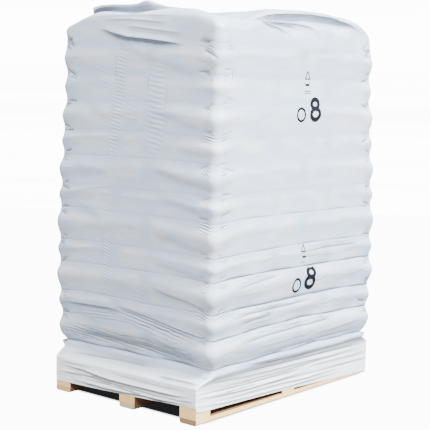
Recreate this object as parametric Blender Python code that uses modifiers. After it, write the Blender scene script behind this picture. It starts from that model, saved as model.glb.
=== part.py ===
"""A pallet of sacks: 65 filled sacks in 13 interlocked layers on a wooden pallet, under a stretched
film hood. Metres, +Z up. The origin is the middle of the pallet's underside, X runs along its
1200 mm side and Y along its 800 mm side."""

import math

import bmesh
import bpy
import numpy as np
from mathutils import Matrix, Vector

GAP = 0.0003  # between pieces that rest on each other

# One-way wooden pallet
PALLET_LENGTH = 1.200
PALLET_WIDTH = 0.800
BOARD = 0.022  # thickness of every board
BLOCK_SIDE = 0.085
BLOCK_HEIGHT = 0.078
RUNNER_CHAMFER = 0.006
STRINGER_WIDTH = 0.100
DECK_BOARDS = 7
DECK_BOARD_WIDTH = 0.100
MIDDLE_ROW_Y = -0.025  # the middle row of blocks stands off centre, as in the photograph
DECK_TOP = 3 * BOARD + BLOCK_HEIGHT

# Layers of sacks, from the deck up: the lowest is pressed flat by the load
LAYER_HEIGHTS = (0.065, 0.118, 0.099, 0.130, 0.093, 0.138, 0.098, 0.128, 0.102, 0.125, 0.114, 0.123, 0.123)
# Half the load's length and width at the grooves between layers: it narrows towards the top
LOAD_HEIGHT_STATIONS = (0.21, 0.50, 0.80, 1.10, 1.35, 1.60)
LOAD_HALF_LENGTH = (0.538, 0.551, 0.546, 0.531, 0.519, 0.516)
LOAD_HALF_WIDTH = (0.424, 0.432, 0.431, 0.422, 0.415, 0.414)
BULGE = 0.022  # how far a layer stands out past the grooves above and below it
LOWEST_HALF_LENGTH = 0.532
LOWEST_HALF_WIDTH = 0.400

# One layer at its nominal size, which each layer scales to its own
LAYER_LENGTH = 1.100
LAYER_WIDTH = 0.870
LAYER_HEIGHT = 0.115
SACK_ROUND = 0.055
SACK_JOINT = 0.004
PAIR_WIDTH = 0.348  # the row of two sacks lies along X, the row of three across it
CORE_INSET = 0.030

# Stretched film hood: real film is 0.1 mm, the solid is thick enough to build
FILM = 0.0010
FILM_CLEARANCE = 0.0012
SKIRT_HALF_LENGTH = PALLET_LENGTH / 2 + 0.0015
SKIRT_HALF_WIDTH = PALLET_WIDTH / 2 + 0.0015
BAND_BOTTOM = 0.182  # where the film leaves the lowest sacks for the edge of the deck
HEM_LEAST = 0.004
# Height of the hem above the floor, at places along each side of the pallet
HEM_HEIGHTS = {
    "front": ((-0.60, 0.071), (-0.50, 0.052), (-0.05, 0.038), (0.30, 0.020), (0.60, 0.004)),
    "right": ((-0.40, 0.004), (-0.20, 0.050), (0.15, 0.055), (0.40, 0.050)),
    "back": ((-0.60, 0.044), (0.00, 0.058), (0.60, 0.050)),
    "left": ((-0.40, 0.071), (-0.10, 0.058), (0.20, 0.048), (0.40, 0.044)),
}
SMOOTH_UNDER = 50  # degrees between faces that are shaded as one surface
CORNER_STEPS = 2
SHARP = 0.002  # the least corner radius of the film
SIDE_STEPS = 4
TOP_LIFT = 0.026  # the top rim rises this much from the corners to the middle of each side
DOME_RINGS = ((0.16, 0.0235, 0.35), (0.27, 0.0300, 0.0))  # inset, rise, share of the lift


def clear_scene():
    for thing in list(bpy.data.objects):
        bpy.data.objects.remove(thing)


def make_material(name, colour, roughness):
    material = bpy.data.materials.new(name)
    material.use_nodes = True
    shader = material.node_tree.nodes["Principled BSDF"]
    shader.inputs["Base Color"].default_value = (*colour, 1.0)
    shader.inputs["Roughness"].default_value = roughness
    shader.inputs["Metallic"].default_value = 0.0
    material.diffuse_color = (*colour, 1.0)
    return material


def add_object(name, mesh, material, collection):
    piece = bpy.data.objects.new(name, mesh)
    piece.data.materials.append(material)
    collection.objects.link(piece)
    return piece


def box_mesh(name, size, radius=0.0, segments=2):
    """A box about its own middle, with all its edges rounded where a radius is given."""
    shape = bmesh.new()
    bmesh.ops.create_cube(shape, size=1.0, matrix=Matrix.Diagonal((*size, 1.0)))
    if radius:
        bmesh.ops.bevel(
            shape, geom=shape.edges[:], offset=radius, segments=segments,
            affect="EDGES", profile=0.5, clamp_overlap=True,
        )
    mesh = bpy.data.meshes.new(name)
    shape.to_mesh(mesh)
    shape.free()
    return mesh


def add_board(name, size, centre_xy, bottom, material, collection):
    """A sawn piece that stands on `bottom` and stays GAP short of what rests on it."""
    length, width, height = size
    board = add_object(name, box_mesh(name, (length, width, height - GAP)), material, collection)
    board.location = (*centre_xy, bottom + (height - GAP) / 2)
    return board


def row_places():
    edge = PALLET_WIDTH / 2 - BLOCK_SIDE / 2
    return (("front", -edge), ("middle", MIDDLE_ROW_Y), ("back", edge))


def column_places(width):
    edge = PALLET_LENGTH / 2 - width / 2
    return (("left", -edge), ("centre", 0.0), ("right", edge))


def add_pallet(wood, block_wood, collection):
    for row, y in row_places():
        size = (PALLET_LENGTH, BLOCK_SIDE, BOARD)
        runner = add_board(f"runner_{row}", size, (0, y), 0.0, wood, collection)
        chamfer_lower_corners(runner.data, BOARD)
        for column, x in column_places(BLOCK_SIDE):
            size = (BLOCK_SIDE, BLOCK_SIDE, BLOCK_HEIGHT)
            add_board(f"block_{row}_{column}", size, (x, y), BOARD, block_wood, collection)
    for column, x in column_places(STRINGER_WIDTH):
        size = (STRINGER_WIDTH, PALLET_WIDTH, BOARD)
        add_board(f"stringer_board_{column}", size, (x, 0), BOARD + BLOCK_HEIGHT, wood, collection)
    edge = PALLET_WIDTH / 2 - DECK_BOARD_WIDTH / 2
    for number, y in enumerate(np.linspace(-edge, edge, DECK_BOARDS), 1):
        size = (PALLET_LENGTH, DECK_BOARD_WIDTH, BOARD)
        add_board(f"deck_board_{number}", size, (0, float(y)), 2 * BOARD + BLOCK_HEIGHT, wood, collection)


def chamfer_lower_corners(mesh, height):
    """Takes the corners off the underside's long edges, as on a pallet runner."""
    shape = bmesh.new()
    shape.from_mesh(mesh)
    long_low = [
        edge for edge in shape.edges
        if all(corner.co.z < 0 for corner in edge.verts) and edge.calc_length() > PALLET_LENGTH / 2
    ]
    bmesh.ops.bevel(
        shape, geom=long_low, offset=RUNNER_CHAMFER, segments=1,
        affect="EDGES", profile=0.5, clamp_overlap=True,
    )
    shape.to_mesh(mesh)
    shape.free()


def sack_places():
    """Middle and size of the five sacks of a layer: two end to end, and three side by side."""
    pair_length = LAYER_LENGTH / 2
    trio_width = LAYER_LENGTH / 3
    trio_length = LAYER_WIDTH - PAIR_WIDTH
    pair_y = -LAYER_WIDTH / 2 + PAIR_WIDTH / 2
    trio_y = LAYER_WIDTH / 2 - trio_length / 2
    pair = [(side * pair_length / 2, pair_y, pair_length, PAIR_WIDTH) for side in (-1, 1)]
    trio = [(side * trio_width, trio_y, trio_width, trio_length) for side in (-1, 0, 1)]
    return pair + trio


def layer_mesh(helpers):
    """Five rounded sacks joined by a core that stays behind the joints between them."""
    inner = tuple(side - 2 * CORE_INSET for side in (LAYER_LENGTH, LAYER_WIDTH, LAYER_HEIGHT))
    core = bpy.data.objects.new("layer_core", box_mesh("layer_core", inner))
    helpers.objects.link(core)
    for number, (x, y, length, width) in enumerate(sack_places(), 1):
        size = (length - SACK_JOINT, width - SACK_JOINT, LAYER_HEIGHT)
        sack = bpy.data.objects.new(f"sack_{number}", box_mesh("sack", size, SACK_ROUND))
        sack.location = (x, y, 0)
        helpers.objects.link(sack)
        joined = core.modifiers.new(f"join_{number}", "BOOLEAN")
        joined.operation = "UNION"
        joined.solver = "EXACT"
        joined.object = sack
    bpy.context.view_layer.update()
    finished = core.evaluated_get(bpy.context.evaluated_depsgraph_get())
    mesh = bpy.data.meshes.new_from_object(finished)
    mesh.name = "sack_layer"
    for helper in list(helpers.objects):
        bpy.data.objects.remove(helper)
    return mesh


def load_half_size(height):
    """Half the length and width of the load at the grooves, at this height."""
    return (
        float(np.interp(height, LOAD_HEIGHT_STATIONS, LOAD_HALF_LENGTH)),
        float(np.interp(height, LOAD_HEIGHT_STATIONS, LOAD_HALF_WIDTH)),
    )


def layer_spans():
    """(bottom, top) of each layer, from the deck up."""
    levels = DECK_TOP + np.concatenate([[0.0], np.cumsum(LAYER_HEIGHTS)])
    return [(float(low), float(high)) for low, high in zip(levels[:-1], levels[1:])]


def film_half_size(low, high):
    """Half the length and width of the film where it passes round a layer's bulge."""
    half_length, half_width = load_half_size((low + high) / 2)
    return half_length + BULGE, half_width + BULGE


def add_sack_layers(mesh, material, collection):
    for number, (low, high) in enumerate(layer_spans(), 1):
        film_length, film_width = film_half_size(low, high)
        half_length = film_length - FILM - FILM_CLEARANCE
        half_width = film_width - FILM - FILM_CLEARANCE
        if number == 1:
            half_length, half_width = LOWEST_HALF_LENGTH, LOWEST_HALF_WIDTH
        own = mesh.copy()
        own.transform(Matrix.Diagonal((
            2 * half_length / LAYER_LENGTH,
            2 * half_width / LAYER_WIDTH,
            (high - low - GAP) / LAYER_HEIGHT,
            1.0,
        )))
        layer = add_object(f"sack_layer_{number:02d}", own, material, collection)
        layer.location = (0, 0, (low + high - GAP) / 2)
        # Every second layer is turned half round, so that its sacks lie across the joints below
        layer.rotation_euler = (0, 0, math.pi * (number % 2))


def ring_points(half_length, half_width, radius):
    """A rectangle about the Z axis with rounded corners, the same number of points at any size."""
    corners = [
        Vector((across * (half_length - radius), along * (half_width - radius)))
        for across, along in ((1, 1), (-1, 1), (-1, -1), (1, -1))
    ]
    points = []
    for quarter, corner in enumerate(corners):
        angles = np.linspace(0, math.pi / 2, CORNER_STEPS + 1) + quarter * math.pi / 2
        points += [corner + radius * Vector((math.cos(angle), math.sin(angle))) for angle in angles]
        start = points[-1]
        side = corners[(quarter + 1) % 4] - corner
        points += [start + side * step / SIDE_STEPS for step in range(1, SIDE_STEPS)]
    return points


def inset_ring(half_length, half_width, inset):
    """The film's outline this far inside a layer's bulge, with corners that tighten as it goes in."""
    radius = max(SACK_ROUND + FILM_CLEARANCE - inset, SHARP)
    return ring_points(half_length - inset, half_width - inset, radius)


def side_middleness(point, half_length, half_width):
    """1 at the middle of a side, falling to 0 at the corners."""
    x, y = abs(point.x) / half_length, abs(point.y) / half_width
    return 1 - min(x, y) ** 2


def hem_height(point):
    """Height of the hem above the floor at this place on the skirt."""
    if abs(point.y) / SKIRT_HALF_WIDTH > abs(point.x) / SKIRT_HALF_LENGTH:
        stations = HEM_HEIGHTS["front" if point.y < 0 else "back"]
        place = point.x
    else:
        stations = HEM_HEIGHTS["left" if point.x < 0 else "right"]
        place = point.y
    places, heights = zip(*stations)
    return max(float(np.interp(place, places, heights)), HEM_LEAST)


def skirt_rings():
    """The film below the sacks: the hem, the skirt, the lip on the deck's edge and the flare."""
    outline = ring_points(SKIRT_HALF_LENGTH, SKIRT_HALF_WIDTH, SHARP)
    rings = [[(p.x, p.y, hem_height(p)) for p in outline]]
    rings.append([(p.x, p.y, DECK_TOP - BOARD) for p in outline])
    rings.append([(p.x, p.y, DECK_TOP + FILM) for p in outline])
    half_length, half_width = load_half_size(BAND_BOTTOM)
    band = ring_points(half_length, half_width, SACK_ROUND - BULGE)
    rings.append([(p.x, p.y, BAND_BOTTOM) for p in band])
    return rings


def layer_rings(low, high):
    """The film round one layer: the groove under it, and three rings over its bulge."""
    half_length, half_width = film_half_size(low, high)
    turned = 1 - math.cos(math.pi / 4)
    rise = SACK_ROUND * (high - low) / LAYER_HEIGHT * turned
    stations = (
        (low, BULGE),
        (low + rise, SACK_ROUND * turned),
        ((low + high) / 2, 0.0),
        (high - rise, SACK_ROUND * turned),
    )
    return [
        [(p.x, p.y, height) for p in inset_ring(half_length, half_width, inset)]
        for height, inset in stations
    ]


def top_rings():
    """The film over the top layer, which rises towards the middle of each side."""
    low, high = layer_spans()[-1]
    half_length, half_width = film_half_size(low, high)
    rings = []
    for inset, rise, share in ((SACK_ROUND, FILM + GAP, 1.0), *DOME_RINGS):
        outline = inset_ring(half_length, half_width, inset)
        rings.append([
            (p.x, p.y, high + rise + TOP_LIFT * share * side_middleness(p, half_length, half_width))
            for p in outline
        ])
    return rings


def loft(name, rings):
    """A grid rolled round the load, a row of it on each ring, and closed over the last ring."""
    shape = bmesh.new()
    around = len(rings[0])
    bmesh.ops.create_grid(shape, x_segments=around, y_segments=len(rings) - 1, size=1.0)
    shape.verts.ensure_lookup_table()
    for row, ring in enumerate(rings):
        for column in range(around + 1):
            shape.verts[row * (around + 1) + column].co = ring[column % around]
    bmesh.ops.remove_doubles(shape, verts=shape.verts[:], dist=1e-6)
    last_ring = [
        edge for edge in shape.edges
        if edge.is_boundary and all(corner.co.z > DECK_TOP for corner in edge.verts)
    ]
    bmesh.ops.contextual_create(shape, geom=last_ring)
    bmesh.ops.recalc_face_normals(shape, faces=shape.faces[:])
    mesh = bpy.data.meshes.new(name)
    shape.to_mesh(mesh)
    shape.free()
    return mesh


def add_hood(material, collection):
    rings = skirt_rings()
    for low, high in layer_spans()[1:]:
        rings += layer_rings(low, high)
    rings += top_rings()
    hood = add_object("stretch_hood", loft("stretch_hood", rings), material, collection)
    wall = hood.modifiers.new("film", "SOLIDIFY")
    wall.thickness = FILM
    wall.offset = -1.0
    wall.use_even_offset = True
    hood.data.shade_smooth()
    hood.data.set_sharp_from_angle(angle=math.radians(SMOOTH_UNDER))


def main():
    clear_scene()
    parts = bpy.data.collections.new("pallet_of_sacks")
    helpers = bpy.data.collections.new("helpers")
    helpers.hide_render = True
    bpy.context.scene.collection.children.link(parts)
    bpy.context.scene.collection.children.link(helpers)
    wood = make_material("sawn_softwood", (0.72, 0.58, 0.38), 0.75)
    block_wood = make_material("block_softwood", (0.76, 0.62, 0.42), 0.80)
    sack_film = make_material("sack_film", (0.86, 0.87, 0.86), 0.45)
    hood_film = make_material("hood_film", (0.83, 0.86, 0.89), 0.30)
    add_pallet(wood, block_wood, parts)
    add_sack_layers(layer_mesh(helpers), sack_film, parts)
    add_hood(hood_film, parts)


main()
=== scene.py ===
"""A pallet of sacks under a stretched film hood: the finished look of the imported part.

The film is one grid rolled round the load. Its shape is worked out here as a membrane that is pulled tight
over the sacks: it lies on their bulges, follows the grooves between layers at the load's corners, and
bridges them in the middle of a side.
"""

import math

import bmesh
import bpy
import numpy as np
from mathutils import Matrix, Vector, noise
from mathutils.bvhtree import BVHTree


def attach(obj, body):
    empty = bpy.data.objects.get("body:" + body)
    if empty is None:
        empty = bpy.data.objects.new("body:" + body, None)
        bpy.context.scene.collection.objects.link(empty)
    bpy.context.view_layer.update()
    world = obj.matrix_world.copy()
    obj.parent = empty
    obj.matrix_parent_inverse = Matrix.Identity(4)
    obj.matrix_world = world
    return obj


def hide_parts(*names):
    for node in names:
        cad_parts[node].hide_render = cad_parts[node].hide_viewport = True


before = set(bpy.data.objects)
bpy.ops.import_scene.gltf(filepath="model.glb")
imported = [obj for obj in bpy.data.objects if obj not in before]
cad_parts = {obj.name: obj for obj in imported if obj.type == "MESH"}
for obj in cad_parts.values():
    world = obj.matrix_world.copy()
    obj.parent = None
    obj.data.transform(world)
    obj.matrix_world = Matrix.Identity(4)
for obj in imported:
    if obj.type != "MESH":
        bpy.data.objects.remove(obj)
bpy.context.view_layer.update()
rng = np.random.default_rng(65)

# Load and pallet, close to the part's own sizes: metres
PALLET_HALF_LENGTH = 0.600
PALLET_HALF_WIDTH = 0.400
LEVELS = (0.144, 0.209, 0.327, 0.426, 0.556, 0.649, 0.787, 0.885, 1.013, 1.115, 1.240, 1.354, 1.477, 1.600)
LAYERS = len(LEVELS) - 1
LOAD_HEIGHT_STATIONS = (0.21, 0.50, 0.80, 1.10, 1.35, 1.60)
MIDDLE_HEIGHT = 0.8  # where the film's length round the load is taken
LOAD_HALF_LENGTH = (0.538, 0.551, 0.547, 0.534, 0.523, 0.518)
LOAD_HALF_WIDTH = (0.424, 0.432, 0.432, 0.424, 0.418, 0.419)
BULGE = 0.022  # from the grooves out to the sacks' bulges
PAIR_JOINT = 0.087  # joint between the row of two sacks and the row of three
TRIO_JOINT = 0.183  # joints between the three sacks

# The film's grid
SIDES = ("back", "left", "front", "right")
SIDE_SIGN = (-1, -1, 1, 1)  # the columns run towards -X, -Y, +X and +Y
SIDE_STEPS = (50, 88, 96, 50)
ARC_STEPS = 12
CLOSER = 0.35  # how much closer together the columns stand near the corners
SKIRT_ROWS = 26
LEDGE_ROWS = 14
BAND_ROWS = 5  # over the lowest layer, which is pressed flat
LAYER_ROWS = 18
ROLL_ROWS = 12
TUCK_ROWS = 9
TOP_ROWS = 16
BULGE_RADIUS = 0.042  # of the load's upright corners, where the sacks stand out

SKIRT_HALF_LENGTH = PALLET_HALF_LENGTH + 0.0025
SKIRT_HALF_WIDTH = PALLET_HALF_WIDTH + 0.0025
SKIRT_RADIUS = 0.006
SKIRT_LEAST = -0.0014  # how far in it can go before it meets the boards
LIP_HEIGHT = 0.1465
BAND_BOTTOM = 0.182
HEM_LEAST = 0.005
HEM_HEIGHTS = {
    "front": ((-0.60, 0.071), (-0.50, 0.052), (-0.05, 0.038), (0.30, 0.020), (0.60, 0.005)),
    "right": ((-0.40, 0.005), (-0.20, 0.050), (0.15, 0.055), (0.40, 0.050)),
    "back": ((-0.60, 0.044), (0.00, 0.058), (0.60, 0.050)),
    "left": ((-0.40, 0.071), (-0.10, 0.058), (0.20, 0.048), (0.40, 0.044)),
}
# Height of the top rim, along X on the long sides and along Y on the short ones
RIM_HEIGHTS = {
    "front": (
        (-0.55, 1.584), (-0.46, 1.580), (-0.40, 1.584), (-0.33, 1.602), (-0.22, 1.623),
        (0.00, 1.630), (0.20, 1.628), (0.40, 1.614), (0.48, 1.602), (0.55, 1.564),
    ),
    "right": ((-0.43, 1.560), (-0.30, 1.600), (0.00, 1.620), (0.30, 1.605), (0.43, 1.560)),
    "back": ((-0.55, 1.558), (-0.35, 1.600), (0.00, 1.622), (0.35, 1.605), (0.55, 1.560)),
    "left": (
        (-0.44, 1.590), (-0.33, 1.611), (-0.21, 1.619), (-0.10, 1.610), (0.03, 1.602),
        (0.12, 1.606), (0.20, 1.614), (0.27, 1.612), (0.33, 1.592), (0.38, 1.574), (0.44, 1.556),
    ),
}
# Radius over the top edge
ROLL_RADII = {
    "front": ((-0.56, 0.060), (-0.35, 0.066), (-0.15, 0.050), (0.30, 0.045), (0.50, 0.040), (0.56, 0.034)),
    "right": ((-0.45, 0.034), (0.00, 0.045), (0.45, 0.040)),
    "back": ((-0.56, 0.022), (0.00, 0.045), (0.56, 0.040)),
    "left": ((-0.45, 0.056), (-0.25, 0.045), (0.10, 0.040), (0.28, 0.030), (0.36, 0.022), (0.45, 0.018)),
}


def side_shares(steps):
    """Places along a side from 0 to 1, closer together near its ends."""
    even = np.arange(steps) / steps
    return (1 - CLOSER) * even + CLOSER * (0.5 - 0.5 * np.cos(math.pi * even))


def outline_columns():
    """Each column's share of the half length and half width, and the angle that it faces."""
    corners = ((1, 1), (-1, 1), (-1, -1), (1, -1))
    across, along, facing = [], [], []
    for quarter, (x, y) in enumerate(corners):
        next_x, next_y = corners[(quarter + 1) % 4]
        shares = side_shares(SIDE_STEPS[quarter])
        across += [x] * ARC_STEPS + list(x + (next_x - x) * shares)
        along += [y] * ARC_STEPS + list(y + (next_y - y) * shares)
        facing += list((quarter + np.arange(ARC_STEPS) / ARC_STEPS) * math.pi / 2)
        facing += [(quarter + 1) * math.pi / 2] * len(shares)
    return np.array(across), np.array(along), np.array(facing)


ACROSS, ALONG, FACING = outline_columns()
COLUMNS = len(FACING)


def ring(half_length, half_width, radius):
    """The columns' X and Y on a rectangle with rounded corners. The sizes may differ by column."""
    x = ACROSS * (half_length - radius) + radius * np.cos(FACING)
    y = ALONG * (half_width - radius) + radius * np.sin(FACING)
    return x, y


def load_half_size(height):
    length = np.interp(height, LOAD_HEIGHT_STATIONS, LOAD_HALF_LENGTH)
    width = np.interp(height, LOAD_HEIGHT_STATIONS, LOAD_HALF_WIDTH)
    return length, width


def bulge_ring(height):
    """The columns' X and Y at the reach of the sacks' bulges."""
    length, width = load_half_size(height)
    return ring(length + BULGE, width + BULGE, BULGE_RADIUS)


def unrolled_places():
    """Each column's place along the load's outline, and the gap to the next column."""
    x, y = bulge_ring(MIDDLE_HEIGHT)
    gaps = np.hypot(np.roll(x, -1) - x, np.roll(y, -1) - y)
    return np.concatenate([[0], np.cumsum(gaps)[:-1]]), gaps


PLACES, GAPS = unrolled_places()
GIRTH = float(GAPS.sum())


def side_positions():
    """For each side, every column's X or Y on it. Past a corner it goes on as length of film."""
    positions = {}
    for quarter, side in enumerate(SIDES):
        first = quarter * ARC_STEPS + sum(SIDE_STEPS[:quarter])
        last = first + ARC_STEPS + SIDE_STEPS[quarter]
        start = PLACES[first + ARC_STEPS]
        end = PLACES[last] if last < COLUMNS else GIRTH
        from_middle = (PLACES - (start + end) / 2 + GIRTH / 2) % GIRTH - GIRTH / 2
        positions[side] = SIDE_SIGN[quarter] * from_middle
    return positions


POSITIONS = side_positions()
HALF_SIDE = {"back": 0.515, "front": 0.515, "left": 0.405, "right": 0.405}


def nearest_side():
    """The number of the side that each column belongs to, with half of each corner."""
    past = np.array([np.abs(POSITIONS[side]) - HALF_SIDE[side] for side in SIDES])
    return past.argmin(axis=0)


SIDE_OF = nearest_side()


def by_side(table):
    """A table of heights for each side, read at each column."""
    found = np.zeros(COLUMNS)
    for number, side in enumerate(SIDES):
        own = SIDE_OF == number
        stations, heights = zip(*table[side])
        found[own] = np.interp(POSITIONS[side][own], stations, heights)
    return found


def of_groove(table, number):
    """A groove's value on each column's own side."""
    return np.array([table[side][number - 1] for side in SIDES])[SIDE_OF]


def round_wave(length, phase):
    """A wave of about that length that closes round the load, from -1 to 1."""
    return np.sin(PLACES * 2 * math.pi * round(GIRTH / length) / GIRTH + phase)


def smooth_round(values, times):
    """Evens out values from column to column."""
    for _ in range(times):
        values = (np.roll(values, 1) + 2 * values + np.roll(values, -1)) / 4
    return values


def corner_distance():
    """Each column's distance to the middle of the nearest corner, along the film."""
    quarter_arc = BULGE_RADIUS * math.pi / 4
    away = [np.abs(HALF_SIDE[side] + quarter_arc - np.abs(POSITIONS[side])) for side in SIDES]
    return np.min(away, axis=0)


FROM_CORNER = corner_distance()
# 1 round the corner nearest the camera, where the sacks stand almost in line, 0 round the others
NEAR_CORNER = smooth_round(((ACROSS < 0) & (ALONG < 0)).astype(float), 300)
RIM = smooth_round(by_side(RIM_HEIGHTS), 6)
ROLL = smooth_round(by_side(ROLL_RADII), 6)

LIFT_CORNER = (0.56, 0.45)
LINE_LIFT = 0.016  # how much higher a line is along the sides than at the load's corners
LIFT_REACH = 0.10
LINE_WANDER = 0.0018
LINE_FADE = ((0.209, 0.327, 1.2, 1.6), (0.4, 1.0, 0.6, 0.0))  # heights, and how much of both shows there
WANDER = [(rng.uniform(2, 9), rng.uniform(2, 9), rng.uniform(0, 6.28)) for _ in LEVELS for _ in range(3)]


def line_height(number, x, y):
    """Height of the line under a layer, at a place: it sags at the load's corners and wanders a little."""
    level = LEVELS[number]
    to_corner = np.hypot(LIFT_CORNER[0] - np.abs(x), LIFT_CORNER[1] - np.abs(y))
    lift = LINE_LIFT * (1 - np.exp(-to_corner / LIFT_REACH))
    wander = sum(
        LINE_WANDER * np.sin(across * x + along * y + start)
        for across, along, start in WANDER[3 * number : 3 * number + 3]
    )
    fade = np.interp(level, *LINE_FADE) if number else 0.0
    return level + fade * (lift + wander)


def layer_lines():
    """The lines between layers as the film passes them."""
    x, y = bulge_ring(MIDDLE_HEIGHT)
    return np.array([line_height(number, x, y) for number in range(len(LEVELS))])


LAYER_LINES = layer_lines()
LOAD_ROWS = BAND_ROWS + (LAYERS - 1) * LAYER_ROWS + 1
FIRST_LOAD_ROW = SKIRT_ROWS + LEDGE_ROWS - 1


def skirt_rows():
    """The film that hangs on the pallet's edge, from the hem to the lip."""
    hem = np.maximum(smooth_round(by_side(HEM_HEIGHTS), 3), HEM_LEAST)
    x, y = ring(SKIRT_HALF_LENGTH, SKIRT_HALF_WIDTH, SKIRT_RADIUS)
    for share in np.linspace(0, 1, SKIRT_ROWS):
        yield x, y, hem + share * (LIP_HEIGHT - hem)


def ledge_rows():
    """From the lip on the deck's edge, in and up to the lowest sacks that stand out."""
    length, width = load_half_size(BAND_BOTTOM)
    for share in np.linspace(0, 1, LEDGE_ROWS + 1)[1:-1]:
        inward = share ** 1.2
        radius = SKIRT_RADIUS + inward * (BULGE_RADIUS - BULGE - SKIRT_RADIUS)
        x, y = ring(
            SKIRT_HALF_LENGTH + inward * (length - SKIRT_HALF_LENGTH),
            SKIRT_HALF_WIDTH + inward * (width - SKIRT_HALF_WIDTH),
            radius,
        )
        yield x, y, np.full(COLUMNS, LIP_HEIGHT + (BAND_BOTTOM - LIP_HEIGHT) * share ** 0.85)


def load_row_heights():
    """Heights of the rows round the sacks. One row follows each groove, and they stand closer near it."""
    even = np.arange(LAYER_ROWS) / LAYER_ROWS
    shares = 0.45 * even + 0.55 * (0.5 - 0.5 * np.cos(math.pi * even))
    even_band = np.arange(BAND_ROWS) / BAND_ROWS
    heights = [BAND_BOTTOM + share * (LAYER_LINES[1] - BAND_BOTTOM) for share in even_band]
    for number in range(1, LAYERS):
        low = LAYER_LINES[number]
        high = LAYER_LINES[number + 1] if number < LAYERS - 1 else RIM - ROLL
        heights += [low + share * (high - low) for share in shares]
    return heights + [RIM - ROLL]


def load_rows():
    """Round the sacks, at the reach of their bulges."""
    for height in load_row_heights():
        yield *bulge_ring(height), height


ROLL_TURN = math.radians(78)


def top_edge(inset):
    """The ring that the film follows on top of the load, at a distance in from its side."""
    length, width = load_half_size(1.6)
    return length + BULGE - inset, width + BULGE - inset, BULGE_RADIUS + 0.3 * inset


def roll_rows():
    """Over the load's top edge."""
    for turn in np.linspace(0, ROLL_TURN, ROLL_ROWS + 1)[1:]:
        x, y = ring(*top_edge(ROLL * (1 - math.cos(turn))))
        yield x, y, RIM - ROLL * (1 - math.sin(turn))


SEAM_HALF_LENGTH = 0.30
SEAM_HEIGHT = 1.622
WELD_FIN = 0.006  # how far the weld's edge stands up
WELD_HALF_WIDTH = 0.0015
WELD_RADIUS = 0.0010
TOP_HOLLOW = 0.011  # how far the film sinks over the joints between the top sacks
HOLLOW_REACH = 0.030
ROW_BLEND = 0.015  # how fast the hollows of the pair's joint give way to those of the trio's
TUCK_FULL_RISE = 0.030  # rise at which the section below stands out as far as it says
TUCK_SLOPE = 0.004
TUCK_DEPTH = 0.062  # how far in from the edge the film lies folded on itself
NO_TUCK = ((0.0, 0.0), (0.1, 0.0))
# The tuck that the hood's closed end folds into on each short side: how far it stands up and out, along Y
TUCK_RISE = {
    "left": (
        (-0.22, 0.0), (-0.15, 0.010), (-0.09, 0.024), (-0.045, 0.040), (0.03, 0.034),
        (0.15, 0.028), (0.22, 0.025), (0.30, 0.026), (0.325, 0.014), (0.338, 0.004), (0.35, 0.0),
    ),
    "right": ((-0.20, 0.0), (-0.12, 0.014), (0.05, 0.022), (0.18, 0.012), (0.24, 0.0)),
    "front": NO_TUCK,
    "back": NO_TUCK,
}
# The tuck's section: share of the way in, share of the rise, and how far out of the straight it goes
TUCK_SECTION = (
    (0.18, -0.22, 0.000), (0.30, -0.20, 0.000), (0.38, 0.18, 0.012), (0.44, 0.62, 0.026), (0.50, 0.97, 0.036),
    (0.56, 1.02, 0.035), (0.70, 0.86, 0.022), (0.86, 0.50, 0.008), (1.00, 0.20, 0.000),
)


def tuck_rows():
    """Just inside the edge, where the film of the closed end is folded over on the short sides."""
    rise = smooth_round(by_side(TUCK_RISE), 1)
    start = ROLL * (1 - math.cos(ROLL_TURN))
    level = RIM - ROLL * (1 - math.sin(ROLL_TURN))
    for inward, lift, outward in TUCK_SECTION:
        x, y = ring(*top_edge(start + inward * TUCK_DEPTH - outward * rise / TUCK_FULL_RISE))
        yield x, y, level + TUCK_SLOPE * inward + lift * rise


def top_hollows(x, y):
    """How far the film sinks over the joints between the top sacks."""

    def near(away):
        return np.exp(-((away / HOLLOW_REACH) ** 2))

    pair = 1 / (1 + np.exp(-(y - PAIR_JOINT) / ROW_BLEND))
    between_pair = near(x) * pair
    between_trio = (near(x + TRIO_JOINT) + near(x - TRIO_JOINT)) * (1 - pair)
    return TOP_HOLLOW * np.maximum(near(y - PAIR_JOINT), np.maximum(between_pair, between_trio))


def top_rows():
    """From the tuck in to the weld that closes the hood, along X over the middle of the load."""
    inset = ROLL * (1 - math.cos(ROLL_TURN)) + TUCK_DEPTH
    half_length, half_width, radius = top_edge(inset)
    start = RIM - ROLL * (1 - math.sin(ROLL_TURN)) + TUCK_SLOPE + 0.2 * smooth_round(by_side(TUCK_RISE), 3)
    shares = list(np.linspace(0, 0.98, TOP_ROWS - 1)[1:]) + [0.992, 1.0]
    for share in shares:
        ease = share * (1 - 0.12 * math.sin(math.pi * share))
        x, y = ring(
            half_length * (1 - ease) + SEAM_HALF_LENGTH * ease,
            half_width * (1 - ease) + WELD_HALF_WIDTH * ease,
            radius * (1 - ease) + WELD_RADIUS * ease,
        )
        weld = WELD_FIN if share == 1.0 else 0.0
        yield x, y, start * (1 - share) + SEAM_HEIGHT * share - top_hollows(x, y) * share ** 0.3 + weld


def stack(*parts):
    """All the rows as three grids, of X, Y and Z."""
    rows = [row for part in parts for row in part]
    return [np.array([row[axis] for row in rows]) for axis in range(3)]


SACK_ROUND = 0.060  # depth of the hollow between two layers, before the film bridges it
UPPER_FULLNESS = 2.2  # a higher power keeps a face full to nearer its edge
LOWER_FULLNESS = 4
LOWER_SLOPE = 0.30  # share of the lower half's hollow that starts at the crest
STANDS_OUT = (0.0015, -0.0030)  # how far past the bulges' reach the even and the odd layers go
SACK_CORNER = 0.05
NO_SACK = -0.08
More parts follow.
